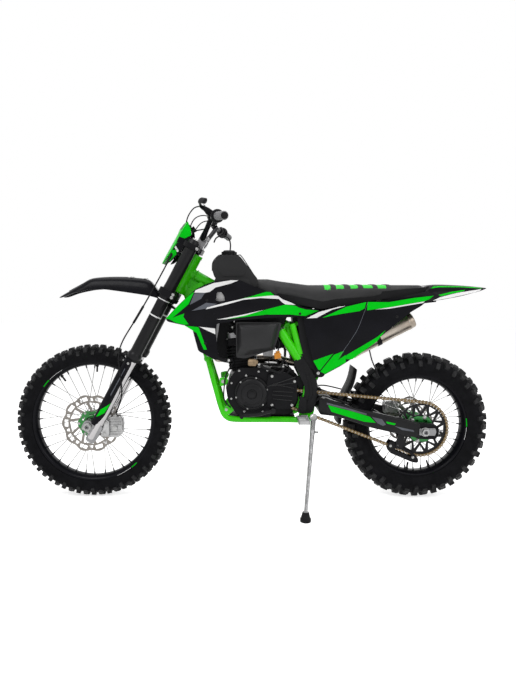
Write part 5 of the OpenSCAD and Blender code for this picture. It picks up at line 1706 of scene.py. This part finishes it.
SHROUD_HINGE, SHROUD_TURN, SHROUD_Y = 195.0, math.radians(7.4), -108.0
PANEL_HINGE, PANEL_TURN, PANEL_Y = 192.0, math.radians(-4.0), -112.0


def shroud_face(x, z, depth):
    """The left shroud's outer face: a turned plane, swollen along its upper ridge and hollow below it."""
    swell = 7.0 * np.exp(-((z - 880 - 0.06 * (x + 100)) / 46) ** 2) * np.clip((150 - x) / 200, 0, 1)
    fold = 5.0 * np.clip((800 - z) / 120, 0, 1) ** 1.5
    out = 2.0 + swell + fold - depth
    run = x - SHROUD_HINGE
    c, s = math.cos(SHROUD_TURN), math.sin(SHROUD_TURN)
    return np.stack([SHROUD_HINGE + c * run + s * out, SHROUD_Y + s * run - c * out, z], -1)


def panel_face(x, z, depth):
    """The left side panel's outer face: a turned plane with a soft crown between its upper and lower edges."""
    crown = 6.0 * np.exp(-((z - 800 - 0.25 * (x - 450)) / 80) ** 2)
    out = 1.0 + crown - depth
    run = x - PANEL_HINGE
    c, s = math.cos(PANEL_TURN), math.sin(PANEL_TURN)
    return np.stack([PANEL_HINGE + c * run + s * out, PANEL_Y + s * run - c * out, z], -1)


def lifted(face, up):
    """The same surface raised: its depth less a distance."""
    return lambda u, v, depth: face(u, v, depth - up)


def graphics(name, face, groups, body="chassis", up=0.45, step=12):
    """Thin coloured films that follow a panel's face, on both sides of the bike."""
    for key, material, slot, outlines in groups:
        films = [plate(np.array(outline, float), lifted(face, up), up + 0.1, step=step) for outline in outlines]
        piece(name + "_" + key, both(joined(films)), material, body, crease=50)


def build_shrouds():
    outline = [(-401, 826), (-373, 858), (-345, 888), (-312, 920), (-278, 951), (-238, 972), (-200, 986),
               (-150, 993), (-94, 994), (-30, 968), (62, 937), (130, 905), (195, 878), (262, 870), (268, 862),
               (204, 838), (60, 834), (-97, 822), (-188, 806), (-190, 760), (-178, 655), (-192, 651), (-227, 671),
               (-264, 690), (-278, 740), (-292, 792), (-330, 800), (-394, 814)]
    hole = rounded([(-188, 939), (-169, 942), (-156, 922), (-153, 904), (-178, 901), (-193, 906)], 5, 3)
    shell = plate(rounded(outline, 9, 3), shroud_face, sizes().panel / MM, [hole], step=14)
    piece("shroud_shells", both(shell), gloss_black(), replaces=["left_shroud", "right_shroud"],
          bevel=1.0, crease=60)
    greens = [[(-401, 826), (-351, 880), (-312, 918), (-283, 942), (-307, 888), (-380, 824)],
              [(-108, 907), (-47, 923), (25, 945), (43, 944), (61, 931), (-1, 924), (-67, 917)],
              [(-147, 826), (-66, 842), (26, 869), (109, 891), (156, 886), (172, 878), (204, 870), (260, 866),
               (202, 842), (131, 848), (26, 847), (-76, 835)],
              [(-387, 825), (-324, 849), (-328, 835), (-306, 803), (-323, 801), (-360, 810)],
              [(-323, 798), (-264, 791), (-228, 696), (-241, 696), (-271, 766), (-306, 788)]]
    whites = [[(-283, 937), (-278, 947), (-204, 978), (-129, 992), (-96, 992), (-129, 978), (-194, 960), (-218, 941),
               (-238, 937)],
              [(-235, 867), (-228, 876), (-138, 900), (-67, 917), (-1, 925), (56, 930), (77, 928), (98, 913),
               (135, 900), (156, 890), (109, 892), (96, 900), (80, 915), (-1, 918), (-77, 909), (-148, 888)],
              [(-187, 824), (-76, 846), (16, 868), (-66, 842), (-147, 826)],
              [(-261, 793), (-194, 786), (-192, 761), (-232, 779)]]
    greys = [[(-283, 934), (-238, 937), (-255, 911), (-302, 885)],
             [(-294, 860), (-233, 895), (-188, 891), (-230, 871)]]
    graphics("shroud", shroud_face, [("green", green_plastic(), "green_plastic", greens),
                                     ("white", white_vinyl(), "chrome", whites),
                                     ("grey", grey_vinyl(), "matt_plastic", greys)])
    spots = np.array([(-235, 722), (-230, 905), (176, 852)], float)
    at = shroud_face(spots[:, 0], spots[:, 1], 0.0)
    way = [math.sin(SHROUD_TURN), -math.cos(SHROUD_TURN), 0]
    piece("shroud_bolts", both(bolts(at, way, 4.5, 3.0)), black_paint())
    neck = slab([(-196, 896), (-150, 892), (-148, 930), (-166, 950), (-194, 946)], -124, -113, 7)
    piece("radiator_necks", both(neck), alloy_with_painted_light(), bevel=2.0)


def build_side_panels():
    outline = [(192, 838), (230, 850), (268, 865), (352, 889), (469, 908), (520, 910), (562, 912), (668, 931),
               (752, 942), (738, 927), (716, 911), (700, 896), (655, 868), (549, 776), (447, 686), (360, 626),
               (273, 576), (262, 590), (246, 630), (238, 648),
               (222, 700), (204, 770)]
    shell = plate(rounded(outline, 8, 3), panel_face, sizes().panel / MM, step=14)
    piece("side_panel_shells", both(shell), gloss_black(), replaces=["left_side_panel", "right_side_panel"], bevel=1.0,
          crease=60)
    greens = [[(274, 836), (338, 867), (378, 886), (463, 908), (456, 880), (434, 868), (365, 856), (311, 845)],
              [(468, 908), (562, 909), (668, 929), (750, 940), (732, 925), (711, 916), (562, 887), (467, 872)],
              [(354, 658), (380, 672), (513, 756), (549, 787), (513, 737), (408, 656)],
              [(239, 646), (325, 679), (271, 607), (263, 607)],
              [(271, 599), (329, 675), (372, 693), (347, 651), (379, 675), (381, 642), (292, 590)]]
    whites = [[(206, 832), (260, 861), (348, 886), (375, 889), (316, 872), (250, 835)],
              [(500, 876), (560, 886), (713, 915), (706, 908), (562, 881)]]
    graphics("side_panel", panel_face, [("green", green_plastic(), "green_plastic", greens),
                                        ("white", white_vinyl(), "chrome", whites)])
    # The panels' split line, drawn as a pale grey bead: a painted highlight along the seam's lit edge.
    split = np.array([(470, 908), (451, 852), (421, 776), (353, 668)], float)
    fine = smooth(split, 10)
    seam_highlight = tube(panel_face(fine[:, 0], fine[:, 1], np.zeros(len(fine))), 1.1, (0, 1, 0), 8)
    piece("side_panel_seam_highlights", both(seam_highlight), grey_vinyl())
    spots = np.array([(262, 592), (596, 846)], float)
    at = panel_face(spots[:, 0], spots[:, 1], 0.0)
    outward = (math.sin(PANEL_TURN), -math.cos(PANEL_TURN), 0)
    piece("side_panel_bolts", both(bolts(at[:1], outward, 5, 3)), zinc())
    piece("side_panel_rear_bolts", both(bolts(at[1:], outward, 5, 3)), black_paint())


def build_air_box():
    back = slab([(-103, 812), (98, 812), (84, 750), (66, 694), (-60, 652), (-99, 656)], -114, -70, 10)
    face = [(-80, 786), (64, 794), (44, 706), (-50, 692), (-76, 704)]
    shell = loft([np.column_stack([rounded(outline, 8, 3)[:, 0], np.full(20, y), rounded(outline, 8, 3)[:, 1]])
                  for outline, y in (([(-98, 806), (88, 808), (62, 690), (-60, 664), (-96, 668)], -112),
                                     ([(-92, 800), (80, 804), (56, 698), (-56, 676), (-90, 682)], -124),
                                     (face, -136))])
    piece("air_box_shell", joined([back, shell]), tank_plastic(), replaces=["air_box"], bevel=4.0)


def build_rear_fender():
    share = np.array([(0, 1.0), (.3, 1.0), (.5, .985), (.64, .95), (.76, .86), (.86, .68), (.94, .42), (1, 0)])
    stations = [(600, 924, 912, 120, 0), (660, 938, 912, 119, 0), (718, 955, 912, 116, 0), (732, 966, 912, 114, 0),
                (748, 981, 914, 112, 0), (766, 989, 917, 109, 0), (820, 991, 925, 101, 0), (880, 990, 936, 93, 0),
                (930, 988, 948, 86, 0), (974, 985, 960, 80, 0), (1006, 982, 970, 75, 0), (1021, 980, 976, 71, 0)]
    piece("rear_fender_shell", arch(stations, 3.6, share), gloss_black(), replaces=["rear_fender"], crease=40)
    fine = smooth(np.array(stations, float), 12)

    def face(u, v, depth):
        """The fender's flank: as far out as its section is wide at that share of its height."""
        half = np.interp(u, fine[:, 0], fine[:, 3])
        top, edge = np.interp(u, fine[:, 0], fine[:, 1]), np.interp(u, fine[:, 0], fine[:, 2])
        part = np.clip((v - edge) / (top - edge), 0, 1)
        y = half * np.interp(part, share[::-1, 1], share[::-1, 0])
        return np.stack([u, -y - 0.9 + depth, edge + (top - edge) * part], -1)

    greens = [[(772, 939), (850, 958), (919, 968), (911, 962), (800, 938)],
              [(760, 972), (800, 978), (900, 980), (996, 976), (1006, 978), (960, 982), (860, 985), (780, 983)]]
    whites = [[(762, 917), (800, 934), (880, 954), (996, 973), (990, 966), (957, 956), (850, 932)]]
    graphics("rear_fender", face, [("green", green_plastic(), "green_plastic", greens),
                                   ("white", white_vinyl(), "chrome", whites)], up=0.5, step=8)
    under = arch([(560, 918, 900, 70, 0), (640, 934, 902, 80, 0), (720, 948, 904, 84, 0), (790, 960, 912, 82, 0)], 3.0,
                 share)
    piece("rear_fender_tray", under, matt_black(), crease=40)
    flank = plate([(500, 908), (600, 909), (744, 911), (770, 918), (800, 940), (740, 962), (716, 954), (600, 930)],
                  lambda u, v, depth: np.stack([u, -np.interp(u, [500, 640, 800], [117, 118, 103]) + depth, v], -1),
                  4, step=14)
    piece("rear_fender_flanks", both(flank), gloss_black(), bevel=0.8, crease=50)
    lamp = slab([(990, 958), (1018, 966), (1018, 977), (996, 977)], -34, 34, 4)
    piece("rear_fender_block", lamp, matt_black(), bevel=2.0)
    sections = []
    for degrees in np.linspace(138, 178, 30):
        angle = math.radians(degrees)
        reach = 371 + 34 * (max(0.0, 152 - degrees) / 14) ** 2
        middle = REAR_HUB + reach * np.array([math.cos(angle), 0, math.sin(angle)])
        out = np.array([math.cos(angle), 0, math.sin(angle)])
        ring = np.array([(-60, -12), (-56, -4), (-48, 1), (-20, 3), (20, 3), (48, 1), (56, -4), (60, -12), (57, -12),
                         (53, -6), (46, -2), (20, 0), (-20, 0), (-46, -2), (-53, -6), (-57, -12)], float)
        sections.append(middle + ring[:, 1:] * out + ring[:, :1] * [0, 1, 0])
    piece("rear_mudguard_sheet", loft(sections), matt_black(), replaces=["rear_mudguard"],
          crease=40)
    stay = tube(smooth([(500, -66, 690), (511, -67, 648), (530, -68, 604), (548, -68, 566)], 6), 3.0, (0, 1, 0), 12)
    piece("rear_mudguard_stay", stay, black_paint())


def build_seat():
    """The seat: crowned foam under a stretched cover, puffed by a short cloth simulation and then covered
    with bands across its middle. Top and base come from the side outline, half width from the plan."""
    xs = np.array([-40, -36, -28, -14, 0, 20, 44, 70, 100, 140, 180, 220, 260, 300, 340, 380, 420, 460, 500, 540,
                   580, 620, 660, 690, 716, 738, 752], float)
    top = np.interp(xs, [-40, -26, -10, 90, 219, 500, 740, 752], [992, 1008, 1005, 988, 973, 978, 981, 976])
    base = np.interp(xs, [-40, 62, 200, 274, 352, 469, 721, 752], [966, 909, 883, 876, 899, 917, 958, 968])
    half = np.interp(xs, [-60, 60, 180, 300, 500, 760], [41, 58, 80, 90, 93, 76])
    half = half * np.sqrt(1 - np.clip((xs - 716) / 60, 0, 0.6) ** 2)
    top = np.maximum(top, base + 4)
    t = np.linspace(0, TURN, 41)[:-1]
    c, s = np.cos(t), np.sin(t)
    y = np.sign(c) * np.abs(c) ** 0.55
    z = np.where(s > 0, np.abs(s) ** 0.6, -np.abs(s) ** 0.35)
    middle, tall = (top + base) / 2, (top - base) / 2
    crown = 1 - 0.10 * (y ** 2) * (z > 0)
    sections = np.stack([np.broadcast_to(xs[:, None], (len(xs), 40)), half[:, None] * y,
                         middle[:, None] + tall[:, None] * z * crown], -1)
    shape = loft(sections)
    cover = piece("seat_cover", shape, seat_vinyl(), replaces=["seat"], crease=80)
    pan = slab([(60, 912), (274, 872), (469, 908), (740, 948), (756, 980), (500, 950), (280, 906), (80, 940)], -84, 84,
               6)
    piece("seat_pan", pan, matt_black())
    puff(cover, sizes().seat_puff)
    bands(cover)


def puff(cover, cap):
    """Blows the cover out with cloth pressure for twenty steps, each point held within the cap, and keeps it."""
    rest = cover.data.copy()
    soft = bpy.data.objects.new("seat_sim", rest)
    bpy.context.scene.collection.objects.link(soft)
    remesh = soft.modifiers.new("Remesh", "REMESH")
    remesh.mode, remesh.voxel_size = "VOXEL", 0.005
    bpy.context.view_layer.update()
    solid = bpy.data.meshes.new_from_object(soft.evaluated_get(bpy.context.evaluated_depsgraph_get()))
    soft.modifiers.clear()
    soft.data = solid
    before = np.empty(len(solid.vertices) * 3, np.float32)
    solid.vertices.foreach_get("co", before)
    cloth = soft.modifiers.new("Cloth", "CLOTH")
    cloth.settings.use_pressure, cloth.settings.uniform_pressure_force = True, 4.0
    cloth.settings.quality, cloth.settings.mass = 5, 0.3
    cloth.settings.effector_weights.gravity = 0.0
    scene = bpy.context.scene
    for step in range(1, 21):
        scene.frame_set(step)
    done = bpy.data.meshes.new_from_object(soft.evaluated_get(bpy.context.evaluated_depsgraph_get()))
    after = np.empty(len(done.vertices) * 3, np.float32)
    done.vertices.foreach_get("co", after)
    scene.frame_set(1)
    bpy.data.objects.remove(soft)
    before, after = before.reshape(-1, 3), after.reshape(-1, 3)
    moved = after - before
    length = np.linalg.norm(moved, axis=1, keepdims=True)
    moved *= np.minimum(1, cap / np.maximum(length, 1e-9))
    done.vertices.foreach_set("co", (before + moved).ravel())
    done.materials.clear()
    done.materials.append(seat_vinyl())
    done.shade_smooth()
    cover.data = done
    smoothing = cover.modifiers.new("Round", "SUBSURF")
    smoothing.levels = smoothing.render_levels = 1


def seat_top(cover, xs, ys):
    """Heights of the seat's top over a grid: the highest cover point near each place, joined by distance."""
    mesh = cover.data
    points = np.empty(len(mesh.vertices) * 3, np.float32)
    mesh.vertices.foreach_get("co", points)
    bike = (points.reshape(-1, 3) / MM - REAR_ROW) @ UPRIGHT + REAR_HUB
    bike = bike[bike[:, 2] > np.interp(bike[:, 0], [-34, 274, 752], [985, 925, 970]) - 8]
    gx, gy = np.meshgrid(xs, ys, indexing="ij")
    flat = np.stack([gx.ravel(), gy.ravel()], -1)
    away = np.linalg.norm(flat[:, None] - bike[None, :, :2], axis=2)
    near = np.argsort(away, axis=1)[:, :6]
    weight = 1 / (np.take_along_axis(away, near, 1) + 1.5)
    height = (bike[near, 2] * weight).sum(1) / weight.sum(1)
    return gx, gy, height.reshape(gx.shape)


def bands(cover):
    """Green cloth between raised dark bands: sheets that follow the seat's top, thick as a welt, ends tucked in."""
    greens, darks = [], []
    spans = [(289, 317, 0), (317, 341, 1), (341, 376, 0), (376, 405, 1), (405, 439, 0), (439, 462, 1), (462, 504, 0),
             (504, 527, 1), (527, 567, 0), (567, 590, 1)]
    for start, end, dark in spans:
        xs = np.linspace(start, end, 7)
        ys = np.linspace(-78, 78, 41)
        gx, gy, gz = seat_top(cover, xs, ys)
        across = np.sin(np.linspace(0, math.pi, 7))[:, None] ** 0.5
        fade = np.clip((80 - np.abs(gy)) / 9, 0, 1) ** 0.5
        rise = (3.4 if dark else 1.0) * across * fade + 0.3
        upper = np.stack([gx, gy, gz + rise - 0.6 * (1 - fade)], -1)
        lower = np.stack([gx, gy, gz - 4.0], -1)[:, ::-1]
        shape = loft(np.concatenate([upper, lower], 1))
        (darks if dark else greens).append(shape)
    piece("seat_bands_green", joined(greens), finish("seat_green", colours().green, 0.5, grain=620, depth=0.18,
                                                     patch=9, drift=0.08, pebble=True), "chassis",
          crease=70)
    piece("seat_bands_dark", joined(darks), seat_vinyl(), crease=70)


def build_pegs_and_controls():
    parts = []
    for x0, x1, y0, y1 in ((170, 175, -206, -112), (213, 218, -206, -112), (170, 218, -206, -200),
                           (170, 218, -150, -146), (176, 212, -118, -112)):
        parts.append(plate([(x0, y0), (x1, y0), (x1, y1), (x0, y1)], level_plane(402), 16))
    parts.append(rod((206, -112, 391), (206, -97, 391), 9))
    parts.append(slab([(190, 380), (222, 380), (222, 404), (190, 404)], -114, -104, 6))
    tooth = loft([[(-2.4, -2.4, 0), (2.4, -2.4, 0), (2.4, 2.4, 0), (-2.4, 2.4, 0)],
                  [(-.7, -.7, 5), (.7, -.7, 5), (.7, .7, 5), (-.7, .7, 5)]])
    places = [(x, y, 401) for x in (172.5, 215.5) for y in np.arange(-200, -116, 10.0)]
    places += [(x, y, 401) for x in np.arange(182, 210, 9.0) for y in (-203, -148)]
    teeth = repeated(tooth, np.eye(3), np.array(places))
    piece("footpeg_frames", both(joined(parts)), brushed_steel(), replaces=["footpegs"], bevel=1.0)
    piece("footpeg_teeth", both(teeth), brushed_steel())
    lever = sweep(smooth([(66, -124, 424), (40, -128, 419), (10, -132, 412), (-30, -139, 408), (-72, -146, 408)], 8),
                  circle(1, 16) * [5.2, 7.6], (0, 0, 1))
    parts = [lever, rod((66, -92, 424), (66, -132, 424), 8), lathe([(-134, 8), (-132, 11), (-118, 11), (-116, 8)],
                                                                    (66, 0, 424), (0, 1, 0), 28)]
    brake = sweep(smooth([(150, 118, 366), (100, 126, 352), (20, 134, 366), (-40, 142, 388)], 10),
                  circle(1, 16) * [6.0, 8.6], (0, 0, 1))
    kick = sweep(smooth([(96, 136, 500), (132, 142, 560), (140, 150, 660)], 12), circle(1, 16) * [6.4, 8.8],
                 (0, 1, 0))
    parts += [brake, rod((150, 87, 366), (150, 124, 366), 9), kick, rod((96, 108, 500), (96, 140, 500), 12),
              lathe([(110, 12), (112, 17), (140, 17), (142, 12)], (96, 0, 500), (0, 1, 0), 24)]
    piece("foot_lever_arms", joined(parts), black_paint(), "chassis", ["foot_controls"], crease=50)
    pads = [tube(np.stack([(-72, y, 408) for y in np.linspace(-172, -132, 21)]),
                 7.6 + 0.8 * np.cos(np.arange(21) * math.pi), (0, 0, 1), 20),
            rod((132, 150, 664), (196, 150, 680), 9)]
    piece("foot_lever_rubbers", joined(pads), soft_rubber())
    plate_top = plate(rounded([(-58, 126), (-24, 128), (-24, 170), (-58, 170)], 5), level_plane(397), 9)
    piece("brake_pedal_pad", plate_top, brushed_steel(), bevel=1.2)
    spots = [(-56 + 8 * k, 134 + 9 * j, 396.5) for k in range(4) for j in range(4)]
    piece("brake_pedal_teeth", repeated(tooth, np.eye(3) * 0.7, np.array(spots, float)), brushed_steel())


# ---------------------------------------------------------------- stage

CAMERA_DISTANCE = 2.313
CAMERA_HEIGHT = 0.830
CAMERA_SIDE = -0.008
CAMERA_YAW = math.radians(2.02)
CAMERA_ROLL = math.radians(0.83)
FOCAL_LENGTH = 25.9


def add_light(name, place_at, aim_at, width, height, power):
    """A soft rectangular lamp at a place, turned to face another."""
    lamp = bpy.data.lights.new(name, "AREA")
    lamp.shape, lamp.size, lamp.size_y, lamp.energy = "RECTANGLE", width, height, power
    made = bpy.data.objects.new(name, lamp)
    made.location = place_at
    made.rotation_euler = (Vector(aim_at) - Vector(place_at)).to_track_quat("-Z", "Y").to_euler()
    bpy.context.scene.collection.objects.link(made)


def add_camera():
    """The camera: level, square to the bike but for a slight yaw and roll, measured on the leaning bike."""
    camera = bpy.data.cameras.new("camera")
    camera.lens, camera.sensor_width = FOCAL_LENGTH, 36.0
    camera.shift_x, camera.shift_y = 0.0023, -0.040
    made = bpy.data.objects.new("camera", camera)
    ground = (place([0, 0, 0])).tolist()
    back = Matrix.Rotation(-CAMERA_YAW, 3, "Z")
    made.location = Vector(ground) + back @ Vector((CAMERA_SIDE, -CAMERA_DISTANCE, CAMERA_HEIGHT))
    right = Vector((math.cos(CAMERA_ROLL), 0, math.sin(CAMERA_ROLL)))
    up = Vector((-math.sin(CAMERA_ROLL), 0, math.cos(CAMERA_ROLL)))
    axes = Matrix((back @ right, back @ up, back @ Vector((0, -1, 0)))).transposed()
    made.rotation_mode = "QUATERNION"
    made.rotation_quaternion = axes.to_quaternion()
    bpy.context.scene.collection.objects.link(made)
    bpy.context.scene.camera = made


def add_floor():
    """A wide pale floor that keeps the bike's shadow and meets the background without an edge."""
    mesh = bpy.data.meshes.new("floor")
    reach = 40.0
    mesh.from_pydata([(-reach, -reach, 0), (reach, -reach, 0), (reach, reach, 0), (-reach, reach, 0)], [],
                     [(0, 1, 2, 3)])
    made = bpy.data.objects.new("floor", mesh)
    bpy.context.scene.collection.objects.link(made)
    material = bpy.data.materials.new("floor_white")
    material.use_nodes = True
    tree = material.node_tree
    shader = tree.nodes["Principled BSDF"]
    shader.inputs["Base Color"].default_value = (0.85, 0.85, 0.85, 1)
    shader.inputs["Roughness"].default_value = 0.9
    shader.inputs["Specular IOR Level"].default_value = 0.1
    rays = add_node(tree, "ShaderNodeLightPath")
    seen = add_node(tree, "ShaderNodeMath", {0: rays.outputs["Is Camera Ray"], 1: rays.outputs["Is Glossy Ray"]},
                    operation="MAXIMUM")
    glow = add_node(tree, "ShaderNodeMath", {0: seen.outputs[0], 1: 0.62}, operation="MULTIPLY")
    shader.inputs["Emission Color"].default_value = (1, 1, 1, 1)
    tree.links.new(glow.outputs[0], shader.inputs["Emission Strength"])
    mesh.materials.append(material)


def add_world():
    """A white world for the camera, glass and gloss, dimmer where it only lights."""
    world = bpy.data.worlds.new("studio")
    bpy.context.scene.world = world
    world.use_nodes = True
    tree = world.node_tree
    rays = add_node(tree, "ShaderNodeLightPath")
    glossy = add_node(tree, "ShaderNodeMath", {0: rays.outputs["Is Glossy Ray"],
                                               1: rays.outputs["Is Transmission Ray"]}, operation="MAXIMUM")
    seen = add_node(tree, "ShaderNodeMath", {0: rays.outputs["Is Camera Ray"], 1: glossy.outputs[0]},
                    operation="MAXIMUM")
    level = add_node(tree, "ShaderNodeMapRange", {"Value": seen.outputs[0], "To Min": 0.42, "To Max": 1.0})
    tree.nodes["Background"].inputs["Color"].default_value = (1, 1, 1, 1)
    tree.links.new(level.outputs[0], tree.nodes["Background"].inputs["Strength"])


def build_stage():
    bpy.context.scene.view_settings.view_transform = "Standard"
    add_camera()
    add_floor()
    add_world()
    middle = (0, 0, 0.7)
    add_light("key", (-1.6, -2.6, 3.4), middle, 2.6, 1.6, 68)
    add_light("fill", (2.2, -2.4, 1.8), middle, 1.6, 2.2, 24)
    add_light("top", (0, 0.3, 3.6), middle, 3.4, 1.6, 44)
    add_light("back", (0.5, 3.2, 1.8), middle, 3.0, 1.6, 26)


# ---------------------------------------------------------------- operators and panel

class BIKE_OT_stage(bpy.types.Operator):
    """Camera, floor, background and lamps"""

    bl_idname = "bike.stage"
    bl_label = "Stage"

    def execute(self, context):
        build_stage()
        return {"FINISHED"}


class BIKE_OT_wheels(bpy.types.Operator):
    """Tyres, rims, nipples, hubs, discs and sprocket"""

    bl_idname = "bike.wheels"
    bl_label = "Wheels"

    def execute(self, context):
        build_wheels()
        return {"FINISHED"}


class BIKE_OT_drive(bpy.types.Operator):
    """Chain and chain guide"""

    bl_idname = "bike.drive"
    bl_label = "Drive"

    def execute(self, context):
        build_drive_side()
        return {"FINISHED"}


class BIKE_OT_rear_end(bpy.types.Operator):
    """Swingarm, axle nuts, shock absorber and rear brake"""

    bl_idname = "bike.rear_end"
    bl_label = "Rear end"

    def execute(self, context):
        build_rear_end()
        return {"FINISHED"}


class BIKE_OT_stand(bpy.types.Operator):
    """Side stand with its spring and foot"""

    bl_idname = "bike.stand"
    bl_label = "Side stand"

    def execute(self, context):
        build_stand()
        return {"FINISHED"}


class BIKE_OT_front_end(bpy.types.Operator):
    """Fork, clamps, bars, controls, cables, fender and plate"""

    bl_idname = "bike.front_end"
    bl_label = "Front end"

    def execute(self, context):
        build_front_end()
        return {"FINISHED"}


class BIKE_OT_frame(bpy.types.Operator):
    """Tubes, gussets, welds and bolts"""

    bl_idname = "bike.frame"
    bl_label = "Frame"

    def execute(self, context):
        build_frame()
        return {"FINISHED"}


class BIKE_OT_engine(bpy.types.Operator):
    """Cases, barrel, covers, carburettor, hoses and wiring"""

    bl_idname = "bike.engine"
    bl_label = "Engine"

    def execute(self, context):
        build_engine()
        return {"FINISHED"}


class BIKE_OT_exhaust(bpy.types.Operator):
    """Pipe, heat shield and muffler"""

    bl_idname = "bike.exhaust"
    bl_label = "Exhaust"

    def execute(self, context):
        build_exhaust()
        return {"FINISHED"}


class BIKE_OT_radiators(bpy.types.Operator):
    """Tanks, cores, fins and louvres"""

    bl_idname = "bike.radiators"
    bl_label = "Radiators"

    def execute(self, context):
        build_radiators()
        return {"FINISHED"}


class BIKE_OT_tank(bpy.types.Operator):
    """Fuel tank, cap and breather"""

    bl_idname = "bike.tank"
    bl_label = "Tank"

    def execute(self, context):
        build_tank()
        return {"FINISHED"}


class BIKE_OT_shrouds(bpy.types.Operator):
    """Shrouds with their plain stripes"""

    bl_idname = "bike.shrouds"
    bl_label = "Shrouds"

    def execute(self, context):
        build_shrouds()
        return {"FINISHED"}


class BIKE_OT_side_panels(bpy.types.Operator):
    """Side panels with their plain stripes"""

    bl_idname = "bike.side_panels"
    bl_label = "Side panels"

    def execute(self, context):
        build_side_panels()
        return {"FINISHED"}


class BIKE_OT_air_box(bpy.types.Operator):
    """Air box"""

    bl_idname = "bike.air_box"
    bl_label = "Air box"

    def execute(self, context):
        build_air_box()
        return {"FINISHED"}


class BIKE_OT_rear_fender(bpy.types.Operator):
    """Rear fender, its stripes and the mudguard"""

    bl_idname = "bike.rear_fender"
    bl_label = "Rear fender"

    def execute(self, context):
        build_rear_fender()
        return {"FINISHED"}


class BIKE_OT_seat(bpy.types.Operator):
    """Padded seat with its bands"""

    bl_idname = "bike.seat"
    bl_label = "Seat"

    def execute(self, context):
        build_seat()
        return {"FINISHED"}


class BIKE_OT_controls(bpy.types.Operator):
    """Footpegs, gear lever, brake pedal and kick-start"""

    bl_idname = "bike.controls"
    bl_label = "Foot controls"

    def execute(self, context):
        build_pegs_and_controls()
        return {"FINISHED"}


OPERATORS = [BIKE_OT_stage, BIKE_OT_wheels, BIKE_OT_drive, BIKE_OT_rear_end, BIKE_OT_stand, BIKE_OT_front_end,
             BIKE_OT_frame, BIKE_OT_engine, BIKE_OT_exhaust, BIKE_OT_radiators, BIKE_OT_tank, BIKE_OT_shrouds,
             BIKE_OT_side_panels, BIKE_OT_air_box, BIKE_OT_rear_fender, BIKE_OT_seat, BIKE_OT_controls]


class BIKE_PT_build(bpy.types.Panel):
    """Lists the pieces that the add-on can build."""

    bl_label = "Dirt Bike"
    bl_space_type = "VIEW_3D"
    bl_region_type = "UI"
    bl_category = "Dirt Bike"

    def draw(self, context):
        for name in BikeSizes.__annotations__:
            self.layout.prop(context.scene.bike_sizes, name)
        for name in BikeColours.__annotations__:
            self.layout.prop(context.scene.bike_colours, name)
        for operator in OPERATORS:
            self.layout.operator(operator.bl_idname)


CLASSES = [BikeColours, BikeSizes, *OPERATORS, BIKE_PT_build]


def register():
    for each in CLASSES:
        bpy.utils.register_class(each)
    bpy.types.Scene.bike_colours = bpy.props.PointerProperty(type=BikeColours)
    bpy.types.Scene.bike_sizes = bpy.props.PointerProperty(type=BikeSizes)


def unregister():
    del bpy.types.Scene.bike_sizes
    del bpy.types.Scene.bike_colours
    for each in reversed(CLASSES):
        bpy.utils.unregister_class(each)


def main():
    register()
    for operator in OPERATORS:
        getattr(bpy.ops.bike, operator.bl_idname.split(".")[1])()


if __name__ == "__main__":
    main()
